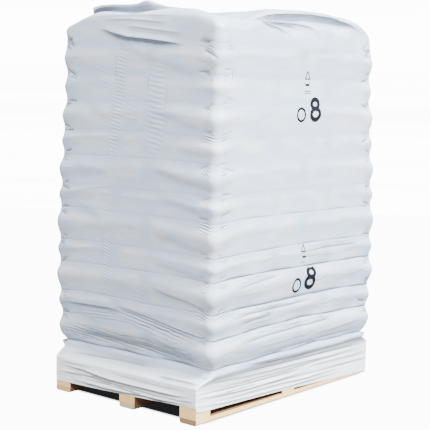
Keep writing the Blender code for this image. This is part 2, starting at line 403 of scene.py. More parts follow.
# Where a sack's face stands out furthest, as a share of its height, along X or Y: on the short side it
# falls from the joint to the corner, as on a bag whose end is folded under
CRESTS = {
    ("left", 0): ((-0.46, 0.48), (-0.38, 0.54), (-0.12, 0.74), (-0.06, 0.70), (0.15, 0.60), (0.44, 0.52)),
    ("left", 1): ((-0.45, 0.55), (-0.15, 0.66), (0.10, 0.72), (0.40, 0.70), (0.45, 0.58)),
    ("front", 0): ((-0.55, 0.52), (-0.40, 0.66), (0.40, 0.66), (0.55, 0.52)),
    ("front", 1): ((-0.55, 0.52), (-0.40, 0.60), (0.40, 0.64), (0.55, 0.52)),
    ("right", 0): ((-0.45, 0.50), (-0.10, 0.72), (0.10, 0.62), (0.45, 0.50)),
    ("right", 1): ((-0.45, 0.52), (0.45, 0.60)),
    ("back", 0): ((-0.55, 0.52), (0.55, 0.58)),
    ("back", 1): ((-0.55, 0.52), (0.55, 0.62)),
}


JOINT_REACH = 0.055
JOINT_DEPTH = 0.045


def joint_depth(layer, side):
    """How far the sacks of a layer fall back at the joints between them, at each column."""
    even = layer % 2 == 0
    if side in ("left", "right"):
        joints = (-PAIR_JOINT,) if even else (PAIR_JOINT,)
    elif (side == "front") == even:
        joints = (0.0,)
    else:
        joints = (-TRIO_JOINT, TRIO_JOINT)
    away = np.min([np.abs(POSITIONS[side] - joint) for joint in joints], axis=0)
    near = np.clip(1 - away / JOINT_REACH, 0, 1)
    return JOINT_DEPTH * near ** 2.2


def crest_share(layer):
    return by_side({side: CRESTS[side, layer % 2] for side in SIDES})


def full_edge(share, fullness):
    """How far a rounded edge has fallen back, at a share of the way to it."""
    return 1 - (1 - share ** fullness) ** (1 / fullness)


def obstacle(z):
    """How far the sacks' own faces stand out from the reach of the bulges, over the load's rows."""
    found = np.full(z.shape, NO_SACK)
    for layer in range(2, LAYERS + 1):
        low, high = LAYER_LINES[layer - 1], LAYER_LINES[layer]
        crest = low + smooth_round(crest_share(layer), 8) * (high - low)
        over = np.clip((z - crest) / (high - crest), 0, 1)
        under = np.clip((crest - z) / (crest - low), 0, 1)
        # The film rolls over the top sacks' upper edges, so these aren't rounded here
        upper_edge = 0.0 if layer == LAYERS else SACK_ROUND * full_edge(over, UPPER_FULLNESS)
        slope = LOWER_SLOPE * under ** 1.4
        lower_edge = SACK_ROUND * (slope + (1 - LOWER_SLOPE) * full_edge(under, LOWER_FULLNESS))
        corner = np.exp(-((FROM_CORNER / SACK_CORNER) ** 2))
        face = STANDS_OUT[layer % 2] - (upper_edge + lower_edge) * (1 + 0.15 * corner)
        for number, side in enumerate(SIDES):
            own = SIDE_OF == number
            face[:, own] -= joint_depth(layer, side)[own]
        inside = (z >= low) & ((z <= high) | (layer == LAYERS))
        found = np.where(inside, np.maximum(found, face), found)
    return found


# How deep the film is drawn into the groove under each layer, from the lowest
GROOVE_AT_CORNER = (0.028, 0.012, 0.013, 0.010, 0.007, 0.007, 0.008, 0.007, 0.008, 0.008, 0.008, 0.008)
GROOVE_IN_MIDDLE = {
    "back": (0.026, 0.010, 0.008, 0.006, 0.004, 0.003, 0.003, 0.002, 0.002, 0.002, 0.001, 0.000),
    "left": (0.026, 0.006, 0.004, 0.003, 0.002, 0.002, 0.001, 0.002, 0.001, 0.001, 0.000, 0.000),
    "front": (0.026, 0.013, 0.011, 0.009, 0.006, 0.005, 0.003, 0.002, 0.002, 0.001, 0.000, 0.000),
    "right": (0.026, 0.010, 0.008, 0.006, 0.004, 0.003, 0.003, 0.002, 0.002, 0.001, 0.001, 0.000),
}
GROOVE_FADE = 0.046  # how far from a corner the deep part of a groove reaches
GROOVE_SLOPE = 0.85  # how wide a groove opens
GROOVE_UNEVEN = 0.35
GROOVE_WAVE = 0.31  # how far apart its deep places are
NEAR_SHALLOWER = 0.80


def groove_limit(z):
    """The furthest that the film may stand out, which is least along the grooves."""
    limit = np.full(z.shape, 1.0)
    corner = np.exp(-((FROM_CORNER / GROOVE_FADE) ** 1.6))
    for number in range(1, LAYERS):
        middle = of_groove(GROOVE_IN_MIDDLE, number)
        uneven = 1 + GROOVE_UNEVEN * round_wave(GROOVE_WAVE, number * 2.1)
        at_corner = GROOVE_AT_CORNER[number - 1] * (1 - NEAR_SHALLOWER * NEAR_CORNER)
        depth = smooth_round(middle, 6) * uneven * (1 - corner) + at_corner * corner
        limit = np.minimum(limit, -depth + GROOVE_SLOPE * np.abs(z - LAYER_LINES[number]))
    return limit


# Where the film is drawn in against the sacks' ends, from 0 to 1
DRAWN_IN = {
    "left": ((-0.45, 0.10), (-0.14, 0.15), (-0.08, 0.05), (0.08, 0.0), (0.18, 0.1), (0.45, 0.2)),
    "front": ((-0.56, 0.0), (-0.45, -0.10), (0.30, -0.05), (0.45, 0.4), (0.56, 0.9)),
    "right": ((-0.45, 0.8), (-0.14, 0.6), (-0.08, 0.1), (0.10, 0.1), (0.18, 0.6), (0.45, 0.8)),
    "back": ((-0.56, 0.6), (-0.40, 0.3), (0.40, 0.3), (0.56, 0.6)),
}
ROUND_TENSION = 3.4  # the hood is stretched more round the load than down it
FILM_BEND = 0.058  # radius that the film bends to round a corner of the load
BEND_HALF_LENGTH = 0.032
BEND_FADE = 0.022
FAR_PULL = 0.26  # share of the pull of that bend at the corners
NEAR_PULL = 0.20  # and at the one nearest the camera
END_PULL = 2.6  # of the film drawn in against the sacks' ends
PULL_BY_HEIGHT = ((0.2, 0.5, 0.9, 1.4), (5.5, 3.6, 1.6, 0.9))
TOP_SLACK = ((1.36, 1.50), (1.0, 0.25))  # heights, and the share of the pull that is left there


def suction(z):
    """How hard the film is drawn in: by its own tension at the corners, and a little everywhere."""
    bend = np.exp(-((np.maximum(FROM_CORNER - BEND_HALF_LENGTH, 0) / BEND_FADE) ** 2)) / FILM_BEND
    bend = bend * (FAR_PULL + (NEAR_PULL - FAR_PULL) * NEAR_CORNER)
    low = np.interp(z, *PULL_BY_HEIGHT)
    drawn = END_PULL * smooth_round(by_side(DRAWN_IN), 6)
    top = np.interp(z, *TOP_SLACK)
    return (ROUND_TENSION * bend + low + drawn) * top


FILM_START = -0.006  # where the film starts before it is pulled tight
WIDEST_GAP = 0.03
CREASE_DEEPER = 1.6  # depth of the row in a groove, as a share of the groove's crease


def stretch_film(z, steps=600):
    """The film's shape over the sacks, as its distance from the reach of the bulges."""
    hold = obstacle(z)
    limit = np.maximum(groove_limit(z), hold)
    pull = suction(z)[1:-1]
    before = np.roll(GAPS, 1)
    side_weight = ROUND_TENSION * 2 / (before + GAPS)
    rise = np.diff(z, axis=0)
    up_weight = 2 / ((rise[1:] + rise[:-1]) * rise[1:])
    down_weight = 2 / ((rise[1:] + rise[:-1]) * rise[:-1])
    total = side_weight * (1 / GAPS + 1 / before) + up_weight + down_weight
    film = np.clip(0 * z + FILM_START, hold, limit)
    film[0] = -BULGE
    for _ in range(steps):
        sideways = np.roll(film, -1, axis=1) / GAPS + np.roll(film, 1, axis=1) / before
        moved = side_weight * sideways[1:-1] + up_weight * film[2:] + down_weight * film[:-2] - pull
        film[1:-1] = np.clip(moved / total, hold[1:-1], limit[1:-1])
        film[-1] = film[-2]
    for number in range(1, LAYERS):
        row = BAND_ROWS + LAYER_ROWS * (number - 1)
        film[row] -= CREASE_DEEPER * smooth_round(of_groove(GROOVE_CREASE, number), 6)
    return film, np.clip(film - hold, 0, WIDEST_GAP)


# Folds that the film takes over the sacks, in millimetres: side, and for each fold its kind, height, width
# and the line that it follows, each point as X or Y along the side, and height above the floor
FOLD_TABLE = (
    ("left", (
        # The sacks' folded ends, on the short side that shows
        ("swell", 4, 22, ((-90, 1233), (-170, 1213), (-290, 1182), (-420, 1150))),
        ("swell", 4.6, 20, ((-100, 1006), (-185, 983), (-275, 962), (-420, 935))),
        ("swell", 3.6, 18, ((-130, 885), (-280, 865), (-420, 828))),
        ("swell", 4.2, 20, ((-100, 735), (-206, 730), (-312, 708), (-430, 684))),
        ("swell", 3.6, 18, ((-110, 622), (-241, 609), (-390, 586), (-450, 563))),
        ("ledge", 2.8, 16, ((-100, 523), (-206, 493), (-319, 478), (-440, 450))),
        ("ledge", 3.5, 16, ((100, 412), (-86, 388), (-241, 362), (-440, 336))),
        ("ledge", 5, 14, ((400, 385), (250, 388), (119, 392), (20, 380))),
        ("ledge", 3, 14, ((-100, 318), (-162, 299), (-277, 270), (-430, 235))),
        ("swell", 3, 18, ((-250, 1078), (-380, 1064), (-430, 1060))),
        ("ridge", 2.2, 10, ((410, 1088), (280, 1100), (100, 1106))),
        ("ridge", 3, 10, ((400, 853), (235, 886), (85, 906))),
        ("ridge", 2, 12, ((420, 606), (280, 630), (150, 648))),
        ("swell", 3, 22, ((280, 1248), (200, 1212), (100, 1176))),
        ("swell", 3, 22, ((300, 822), (200, 788), (120, 762))),
        ("swell", 3, 22, ((360, 990), (240, 970), (120, 965))),
        ("hollow", 13, 25, ((430, 250), (150, 253), (-150, 246), (-430, 228))),
        # At the corners of the top sacks
        ("valley", 4, 3.5, ((450, 1535), (410, 1500), (372, 1470))),
        ("valley", 3.5, 3.5, ((450, 1512), (410, 1485), (366, 1462))),
        ("valley", 3, 3.5, ((450, 1488), (420, 1468), (385, 1452))),
        ("valley", 4.5, 4.5, ((445, 1386), (400, 1362), (355, 1343))),
        ("valley", 5, 4, ((-365, 1454), (-410, 1436), (-450, 1413))),
        ("hollow", 8, 13, ((-400, 1474), (-374, 1480), (-350, 1484))),
        # Over the top sacks
        ("ledge", 15, 21, ((235, 1545), (141, 1524), (39, 1504), (-79, 1494), (-188, 1482), (-280, 1470))),
        ("ledge", 3.5, 12, ((90, 1552), (-54, 1537), (-157, 1525), (-280, 1512))),
        ("ledge", 3, 12, ((210, 1574), (78, 1577), (-96, 1564), (-200, 1554))),
        ("ledge", 2.8, 10, ((240, 1596), (100, 1592), (-60, 1590), (-220, 1584))),
        ("swell", 5, 24, ((160, 1506), (30, 1467), (-87, 1437), (-189, 1411), (-370, 1360))),
        # The hem's folds and the pleats over the pallet's edge
        ("ledge", 7.5, 6, (
            (410, 116), (226, 116), (111, 106), (25, 103), (-129, 103), (-300, 104), (-420, 114))),
        ("ledge", 3.5, 5, ((410, 87), (270, 93), (154, 98), (60, 100))),
        ("ledge", 6, 5, ((360, 61), (231, 64), (121, 62), (-1, 65), (-130, 71), (-254, 73), (-420, 82))),
        ("ledge", 3, 6, ((-240, 86), (-320, 90), (-420, 96))),
        ("ledge", 2.2, 6, ((400, 132), (299, 134), (160, 138))),
        ("ledge", 5, 9, ((-170, 160), (-324, 160), (-440, 161))),
        ("ridge", 1.8, 8, ((200, 170), (-52, 163), (-200, 163))),
        ("pleat", 1.6, 3, ((380, 101), (100, 87), (-200, 83), (-400, 88))),
        ("pleat", 1.5, 3, ((300, 76), (50, 79), (-250, 62), (-410, 66))),
        ("pleat", 1, 3, ((100, 129), (-200, 124), (-410, 131))),
        ("pleat", 1.4, 3, ((400, 168), (100, 176), (-200, 178))),
    )),
    ("front", (
        # At the corners of the top sacks
        ("valley", 3, 4, ((535, 1520), (500, 1500), (462, 1485))),
        ("valley", 3, 4, ((540, 1480), (505, 1462), (470, 1441))),
        # Over the top sacks
        ("ledge", 13, 10, (
            (-430, 1572), (-360, 1580), (-256, 1602), (-109, 1611), (46, 1614), (209, 1610), (360, 1588),
            (460, 1562))),
        ("ledge", 8, 10, ((-360, 1585), (-255, 1575), (-182, 1571), (-46, 1572), (48, 1563), (120, 1535))),
        ("ledge", 8, 16, ((-320, 1582), (-250, 1562), (-181, 1550), (-110, 1525))),
        ("valley", 3.5, 6, ((-350, 1590), (-220, 1592), (-80, 1592), (80, 1588))),
        ("valley", 3.5, 6, ((-340, 1586), (-220, 1582), (-100, 1580), (20, 1577))),
        ("valley", 3, 5, ((-280, 1570), (-200, 1562), (-120, 1557), (-20, 1553))),
        ("valley", 3, 5, ((-240, 1558), (-170, 1545), (-120, 1528), (-80, 1508))),
        ("hollow", 10, 50, ((360, 1545), (480, 1545), (595, 1545))),
        ("swell", 4, 28, ((-120, 1466), (37, 1474), (200, 1495))),
        ("hollow", 22, 22, ((-380, 1580), (-200, 1590), (0, 1590), (200, 1585), (450, 1560))),
        ("hollow", 8, 18, ((-330, 1572), (-200, 1552), (-80, 1545), (50, 1545))),
        # Beside the low grooves of the long side that shows
        ("valley", 3.4, 7, ((-20, 627), (195, 634), (470, 628))),
        ("valley", 3, 10, ((-450, 522), (-260, 541), (-100, 552))),
        ("valley", 5, 7, ((-480, 398), (-353, 412), (-36, 415), (120, 420))),
        ("valley", 6, 6, ((-440, 296), (-204, 309), (65, 312), (300, 316))),
        ("valley", 3.5, 7, ((-420, 374), (-300, 384), (-150, 392))),
        ("valley", 5, 6, ((-380, 216), (-145, 226), (72, 232), (520, 236))),
        ("ledge", 3, 10, ((100, 262), (300, 268), (500, 282))),
        ("valley", 4, 5, ((-400, 436), (-200, 440), (100, 444), (350, 440))),
        # The hem's folds and the pleats over the pallet's edge
        ("ledge", 4, 8, (
            (-520, 168), (-384, 154), (-249, 146), (-89, 141), (107, 136), (350, 125), (580, 114))),
        ("ledge", 5, 6, ((-560, 112), (-377, 97), (-247, 90), (-119, 91), (2, 90), (140, 94))),
        ("ledge", 3.5, 5, ((-460, 106), (-295, 106), (-150, 100))),
        ("ledge", 4.5, 5, ((-500, 90), (-341, 76), (-199, 75), (-55, 71), (109, 62), (246, 63), (420, 54))),
        ("ledge", 4, 5, ((-580, 85), (-387, 62), (-210, 55), (-22, 49), (178, 46), (400, 40))),
        ("ledge", 3.5, 6, ((50, 112), (250, 108), (420, 104), (580, 108))),
        ("ledge", 2.5, 5, ((200, 82), (380, 78), (570, 74))),
        ("pleat", 1.6, 3, ((-580, 140), (-300, 124), (0, 119), (300, 124), (590, 132))),
        ("pleat", 1.8, 3, ((-560, 124), (-350, 114), (-100, 108), (160, 104))),
        ("pleat", 1.8, 3, ((-400, 172), (-100, 160), (250, 150), (580, 140))),
        ("pleat", 1.8, 3, ((-500, 190), (-300, 182), (0, 178), (300, 176))),
        ("pleat", 2, 3, ((-200, 168), (50, 168), (300, 172), (590, 180))),
        ("pleat", 1.4, 3, ((-300, 83), (0, 80), (300, 72), (570, 62))),
    )),
    ("right", (
        # A hidden side
        ("hollow", 10, 50, ((-485, 1545), (-370, 1545), (-250, 1545))),
        ("ledge", 5, 6, ((-400, 100), (-150, 108), (120, 102), (400, 108))),
        ("ledge", 4, 5, ((-380, 48), (-100, 72), (200, 74), (400, 70))),
        ("ledge", 3, 6, ((-300, 128), (-50, 132), (100, 126))),
        ("ledge", 4.5, 24, ((300, 1500), (100, 1460), (-100, 1440), (-300, 1400))),
        ("ledge", 8, 14, ((280, 1560), (100, 1545), (-100, 1530), (-280, 1500))),
        ("ledge", 2.5, 16, ((-100, 1006), (-200, 985), (-420, 940))),
        ("ledge", 2.5, 16, ((-100, 750), (-220, 730), (-420, 690))),
        ("ledge", 3, 16, ((-100, 523), (-220, 495), (-420, 450))),
        ("ledge", 5, 16, ((400, 385), (100, 400), (-200, 370), (-420, 345))),
    )),
    ("back", (
        # A hidden side
        ("ledge", 5, 6, ((-580, 104), (-250, 96), (100, 102), (580, 108))),
        ("ledge", 4, 5, ((-570, 66), (-200, 74), (250, 70), (570, 72))),
        ("ledge", 3, 6, ((-100, 128), (200, 132), (450, 126))),
        ("ledge", 9, 12, ((450, 1570), (200, 1600), (-50, 1605), (-400, 1575))),
        ("ledge", 6, 14, ((300, 1560), (50, 1570), (-200, 1545))),
        ("ledge", 4, 22, ((250, 1480), (0, 1500), (-300, 1470))),
        ("valley", 3, 9, ((-450, 640), (-100, 625), (300, 632))),
        ("valley", 4, 9, ((-300, 402), (100, 412), (450, 398))),
    )),
)


PAST_CORNER = 0.08  # how far past a corner a side's folds reach


def corner_creases():
    """Short creases that run into the grooves at the load's corners."""
    found = []
    for number in range(2, LAYERS):
        for side in SIDES:
            for end in (-1, -1, 1, 1):
                sharp = 1.0 if (side, end) in (("left", -1), ("front", -1)) else 1.7
                start = HALF_SIDE[side] + rng.uniform(0.0, 0.03)
                length = rng.uniform(0.03, 0.075)
                top = LEVELS[number] + rng.uniform(-0.022, 0.030)
                fall = rng.uniform(-0.030, 0.026)
                line = (
                    (end * start, top),
                    (end * (start - length / 2), top + 0.4 * fall),
                    (end * (start - length), top + fall),
                )
                found.append((side, "valley", sharp * rng.uniform(0.0010, 0.0028), 0.0035, line))
    return tuple(found)


def in_metres(values):
    return tuple(in_metres(value) if isinstance(value, tuple) else value / 1000 for value in values)


FOLDS = tuple(
    (side, kind, height / 1000, width / 1000, in_metres(line))
    for side, folds in FOLD_TABLE
    for kind, height, width, line in folds
)
FOLDS += corner_creases()


FAR_AWAY = 9.0


def beside_line(places, heights, line):
    """For each point of the film, how far it is above a line over the side, and its share along it."""
    nearest = np.full(heights.shape, FAR_AWAY)
    above = np.full(heights.shape, FAR_AWAY)
    share = np.zeros(heights.shape)
    lengths = [math.dist(start, end) for start, end in zip(line[:-1], line[1:])]
    done = 0.0
    for start, end, length in zip(line[:-1], line[1:], lengths):
        along_x, along_z = (end[0] - start[0]) / length, (end[1] - start[1]) / length
        if along_x < 0:
            side_x, side_z = along_z, -along_x
        else:
            side_x, side_z = -along_z, along_x
        reach = (places - start[0]) * along_x + (heights - start[1]) * along_z
        kept = np.clip(reach, 0, length)
        across_x = places - start[0] - kept * along_x
        across_z = heights - start[1] - kept * along_z
        away = np.hypot(across_x, across_z)
        closer = away < nearest
        nearest = np.where(closer, away, nearest)
        signed = np.where(across_x * side_x + across_z * side_z >= 0, away, -away)
        above = np.where(closer, signed, above)
        share = np.where(closer, (done + reach) / sum(lengths), share)
        done += length
    return above, share


def near_line(side, heights, line):
    """The columns that reach a line over a side, and how far above and how far along it their points are."""
    own = np.abs(POSITIONS[side]) < HALF_SIDE[side] + PAST_CORNER
    places = np.broadcast_to(POSITIONS[side][own], heights[:, own].shape)
    return own, *beside_line(places, heights[:, own], line)


def fold_profile(kind, above, width):
    """The cross-section of a fold of height 1."""
    if kind in ("valley", "pleat"):
        return -np.exp(-np.abs(above) / width)
    if kind == "ridge":
        return np.exp(-np.abs(above) / width)
    if kind == "hollow":
        return -np.exp(-((above / width) ** 2))
    if kind == "swell":
        over = np.exp(-((above / (1.8 * width)) ** 2))
        under = 1.5 * np.exp(-((above / width) ** 2)) - 0.5 * np.exp(-((above / (2.4 * width)) ** 2))
        return np.where(above >= 0, over, under)
    top = np.exp(-above / (1.8 * width))
    under = 1.75 * np.exp(above / (0.55 * width)) - 0.75 * np.exp(above / (2.4 * width))
    return np.where(above >= 0, top, under)


FOLD_RUN_OUT = 0.28  # share of its length that a fold takes to reach its full height


def fold_ends(share):
    """Folds run out to nothing at their ends."""
    ends = np.clip(np.minimum(share, 1 - share) / FOLD_RUN_OUT, 0, 1)
    return ends * ends * (3 - 2 * ends)


def film_folds(heights):
    """The folds' own relief, over the whole film."""
    relief = np.zeros(heights.shape)
    for side, kind, height, width, line in FOLDS:
        own, above, share = near_line(side, heights, line)
        relief[:, own] += height * fold_ends(share) * fold_profile(kind, above, width)
    return relief


def normals_of(x, y, z):
    """Which way the film faces at each point of the grid."""
    points = np.stack([x, y, z], axis=-1)
    around = np.roll(points, -1, axis=1) - np.roll(points, 1, axis=1)
    up = np.gradient(points, axis=0)
    normal = np.cross(around, up)
    size = np.linalg.norm(normal, axis=-1, keepdims=True)
    return normal / np.maximum(size, 1e-9)


PAST_FOLDS = 3.0  # height given to the rows on top, which no fold on a side reaches


def unrolled_heights(z):
    """Height on the film's upright parts. Past the top edge it goes on as length of film."""
    heights = z.copy()
    first = FIRST_LOAD_ROW + LOAD_ROWS
    turns = np.linspace(0, ROLL_TURN, ROLL_ROWS + 1)[1:]
    for step, turn in enumerate(turns):
        heights[first + step] = RIM - ROLL + ROLL * turn
    heights[first + ROLL_ROWS :] = PAST_FOLDS
    return heights


SIDE_WAVES = (0.0016, 0.0007)  # heights of the long and the fine waves
TOP_WAVES = (0.0050, 0.0014)


def unevenness(x, y, z):
    """Slack and stretch that no fold accounts for: long, low waves on the sides and higher ones on top."""
    found = np.zeros(z.shape)
    first_on_top = len(z) - TOP_ROWS - TUCK_ROWS
    for row in range(first_on_top):
        for column in range(COLUMNS):
            along = PLACES[column]
            turn = 2 * math.pi * along / GIRTH
            spot = Vector((4.2 * math.cos(turn), 4.2 * math.sin(turn), 15.0 * z[row, column]))
            fine = Vector((11 * math.cos(turn), 11 * math.sin(turn), 42.0 * z[row, column] + 7))
            found[row, column] = SIDE_WAVES[0] * noise.noise(spot) + SIDE_WAVES[1] * noise.noise(fine)
    for row in range(first_on_top, len(z)):
        for column in range(COLUMNS):
            across, along = x[row, column], y[row, column]
            slack = noise.noise(Vector((6 * across, 9 * along, 4.0)))
            fine = noise.noise(Vector((22 * across, 30 * along, 9.0)))
            found[row, column] = TOP_WAVES[0] * slack + TOP_WAVES[1] * fine
    return found


# Columns of small ripples, where the film has crept down over the sacks: side, which way the column runs,
# slope, pitch, and stations of place along it, place across it, half width and strength
RIPPLES = (
    ("left", "up", 0.2, 0.0155, (
        (0.98, 0.126, 0.024, 0.0), (1.05, 0.12, 0.034, 0.8), (1.25, 0.09, 0.036, 1.0),
        (1.42, 0.085, 0.034, 0.8), (1.48, 0.085, 0.03, 0.0))),
    ("left", "up", 0.22, 0.014, (
        (0.74, 0.133, 0.02, 0.0), (0.8, 0.133, 0.024, 0.4), (0.96, 0.128, 0.02, 0.0))),
    ("left", "up", 0.3, 0.013, (
        (0.44, 0.13, 0.02, 0.0), (0.48, 0.131, 0.026, 0.8), (0.68, 0.135, 0.03, 0.8),
        (0.73, 0.135, 0.03, 0.0))),
    ("left", "up", 0.16, 0.0205, (
        (1.02, -0.118, 0.044, 0.0), (1.09, -0.12, 0.056, 0.9), (1.2, -0.126, 0.06, 1.0),
        (1.34, -0.126, 0.058, 1.0), (1.42, -0.122, 0.045, 0.0))),
    ("left", "up", 0.16, 0.019, ((1.1, 0.01, 0.02, 0.0), (1.18, 0.01, 0.03, 0.4), (1.44, 0.01, 0.03, 0.0))),
    ("left", "up", 0.4, 0.019, (
        (1.27, 0.185, 0.02, 0.0), (1.33, 0.185, 0.03, 0.6), (1.42, 0.185, 0.02, 0.0))),
    ("left", "up", 0.25, 0.017, (
        (0.4, -0.06, 0.02, 0.0), (0.46, -0.06, 0.03, 0.5), (0.56, -0.06, 0.02, 0.0))),
    ("left", "along", 0.1, 0.015, (
        (-0.44, 0.232, 0.014, 0.0), (-0.3, 0.25, 0.032, 2.8), (0.05, 0.264, 0.032, 3.0),
        (0.3, 0.268, 0.03, 2.8), (0.41, 0.27, 0.02, 0.0))),
    ("left", "along", 0.16, 0.015, (
        (-0.43, 0.345, 0.014, 0.0), (-0.26, 0.334, 0.036, 1.9), (-0.05, 0.362, 0.036, 1.9),
        (0.1, 0.385, 0.01, 0.0))),
    ("left", "along", -0.05, 0.014, (
        (0.06, 0.36, 0.01, 0.0), (0.18, 0.352, 0.03, 1.3), (0.38, 0.35, 0.01, 0.0))),
    ("front", "along", 0.06, 0.017, (
        (-0.42, 0.245, 0.01, 0.0), (-0.1, 0.25, 0.02, 0.5), (0.45, 0.26, 0.01, 0.0))),
    ("front", "along", 0.05, 0.018, ((0.05, 0.6, 0.01, 0.0), (0.25, 0.6, 0.02, 0.3), (0.5, 0.6, 0.01, 0.0))),
    ("right", "up", -0.35, 0.017, (
        (0.9, 0.1, 0.024, 0.0), (1.0, 0.1, 0.034, 0.8), (1.32, 0.09, 0.034, 0.9), (1.42, 0.09, 0.03, 0.0))),
    ("right", "up", -0.35, 0.02, (
        (0.45, -0.12, 0.03, 0.0), (0.55, -0.12, 0.04, 0.7), (0.8, -0.11, 0.04, 0.7),
        (0.88, -0.11, 0.03, 0.0))),
    ("right", "along", 0.1, 0.015, (
        (-0.4, 0.25, 0.012, 0.0), (0.0, 0.262, 0.024, 0.9), (0.4, 0.25, 0.015, 0.0))),
    ("back", "up", 0.3, 0.018, (
        (1.05, -0.21, 0.024, 0.0), (1.12, -0.21, 0.034, 0.8), (1.34, -0.2, 0.034, 0.8),
        (1.42, -0.2, 0.03, 0.0))),
    ("back", "along", 0.08, 0.015, (
        (-0.5, 0.25, 0.012, 0.0), (0.0, 0.262, 0.022, 0.8), (0.5, 0.25, 0.015, 0.0))),
)
RIPPLES_PAST_CORNER = 0.045
RIPPLE_HEIGHT = 0.00075
PUCKER_PITCH = 0.0115
PUCKER_HEIGHT = 0.0013
PUCKER_HALF_WIDTH = 0.036


def ripple_set(places, heights, way, slope, pitch, stations):
    """Phase and strength of one band of ripples."""
    runs, centres, half_widths, strengths = zip(*stations)
    run, across = (heights, places) if way == "up" else (places, heights)
    centre = np.interp(run, runs, centres)
    half_width = np.interp(run, runs, half_widths)
    strength = np.interp(run, runs, strengths, left=0, right=0)
    beside = np.clip(1 - ((across - centre) / half_width) ** 2, 0, 1)
    return (heights - slope * places) / pitch, strength * beside


def pucker_set(side, end, number, places, heights):
    """The short creases that run down to a corner of the load from the groove under a layer."""
    size = 0.7 + 0.5 * math.sin(number * 2.4 + end * 1.3 + SIDES.index(side))
    centre = end * (HALF_SIDE[side] - 0.004 + 0.006 * math.sin(number * 1.7))
    middle = LEVELS[number] - 0.006 + 0.010 * math.sin(number * 3.1 + end)
    beside = np.clip(1 - ((places - centre) / PUCKER_HALF_WIDTH) ** 2, 0, 1)
    level = np.clip(1 - ((heights - middle) / (0.014 + 0.010 * size)) ** 2, 0, 1)
    slope = -end * (0.55 + 0.35 * math.sin(number * 1.9))
    return (heights - slope * places) / PUCKER_PITCH, size * beside * level


def wrinkle_marks(heights):
    """For the material: at each point, the phase and the height of the ripples that cross it."""
    phase = np.zeros(heights.shape)
    strength = np.zeros(heights.shape)

    def lay(side, found, height):
        own = np.broadcast_to(np.abs(POSITIONS[side]) < HALF_SIDE[side] + RIPPLES_PAST_CORNER, heights.shape)
        stronger = own & (found[1] * height > strength)
        phase[stronger] = found[0][stronger]
        strength[stronger] = (found[1] * height)[stronger]

    for side, way, slope, pitch, stations in RIPPLES:
        places = np.broadcast_to(POSITIONS[side], heights.shape)
        lay(side, ripple_set(places, heights, way, slope, pitch, stations), RIPPLE_HEIGHT)
    for side in SIDES:
        places = np.broadcast_to(POSITIONS[side], heights.shape)
        for end in (-1, 1):
            for number in range(1, LAYERS):
                lay(side, pucker_set(side, end, number, places, heights), PUCKER_HEIGHT)
    return phase, strength


# How sharp the crease in the groove under each layer is, from the lowest: metres
GROOVE_CREASE = {
    "back": (0.0016, 0.0014, 0.0014, 0.0012, 0.0008, 0.0006, 0.0004, 0.0004, 0.0003, 0.0003, 0.0002, 0.0),
    "left": (0.0020, 0.0006, 0.0006, 0.0004, 0.0003, 0.0003, 0.0002, 0.0003, 0.0002, 0.0002, 0.0, 0.0),
    "front": (0.0032, 0.0030, 0.0030, 0.0025, 0.0011, 0.0006, 0.0002, 0.0001, 0.0, 0.0, 0.0, 0.0),
    "right": (0.0016, 0.0012, 0.0010, 0.0010, 0.0008, 0.0006, 0.0004, 0.0004, 0.0003, 0.0003, 0.0002, 0.0),
}
CORNER_CREASE = 0.0012
# For each kind of fold, its crease as a share of its height, and how dark a fold of 5 mm is painted,
# as the shade that falls in it
FOLD_LOOK = {
    "pleat": (-0.60, 3.0),
    "valley": (-0.30, 1.4),
    "ledge": (0.16, 1.0),
    "ridge": (0.20, 0.0),
    "hollow": (0.0, 0.0),
    "swell": (0.0, 0.0),
}
# Painted shade along the grooves' creases
GROOVE_SHADE = 520.0  # per metre of a groove's crease
SHADED_FOLD = 0.005  # height of the fold that the shades above are for
CREASE_REACH = 0.010  # how fast a crease gives way to its neighbour
CREASE_FARTHEST = 0.05


def crease_marks(heights):
    """For the material: how far each point is above the nearest crease, and the crease's height and shade."""
    above = np.full(heights.shape, CREASE_FARTHEST)
    height = np.zeros(heights.shape)
    shade = np.zeros(heights.shape)
    score = np.zeros(heights.shape)

    def lay(own, distance, depth, dark):
        found = np.abs(depth) * np.exp(-np.abs(distance) / CREASE_REACH)
        stronger = found > score[:, own]
        for marks, values in ((above, distance), (height, depth), (shade, dark), (score, found)):
            part = marks[:, own]
            part[stronger] = values[stronger]
            marks[:, own] = part

    corner = np.exp(-((FROM_CORNER / 0.06) ** 2))
    for number in range(1, LAYERS):
        sharp = of_groove(GROOVE_CREASE, number)
        uneven = 0.65 + 0.5 * round_wave(0.27, number * 1.7)
        at_corner = CORNER_CREASE * corner * (1 - 0.7 * NEAR_CORNER)
        depth = sharp * (1 - corner) * np.clip(uneven, 0, 1) + at_corner
        everywhere = np.ones(COLUMNS, bool)
        depth = np.broadcast_to(depth, heights.shape)
        lay(everywhere, LAYER_LINES[number] - heights, -depth, GROOVE_SHADE * depth)
    for side, kind, size, width, line in FOLDS:
        own, distance, share = near_line(side, heights, line)
        crease, dark = FOLD_LOOK[kind]
        if kind in ("valley", "pleat"):
            distance = -distance
        lay(own, distance, crease * size * fold_ends(share), dark * size / SHADED_FOLD * fold_ends(share))
    return np.clip(above, -CREASE_FARTHEST, CREASE_FARTHEST), height, np.clip(shade, 0, 1)
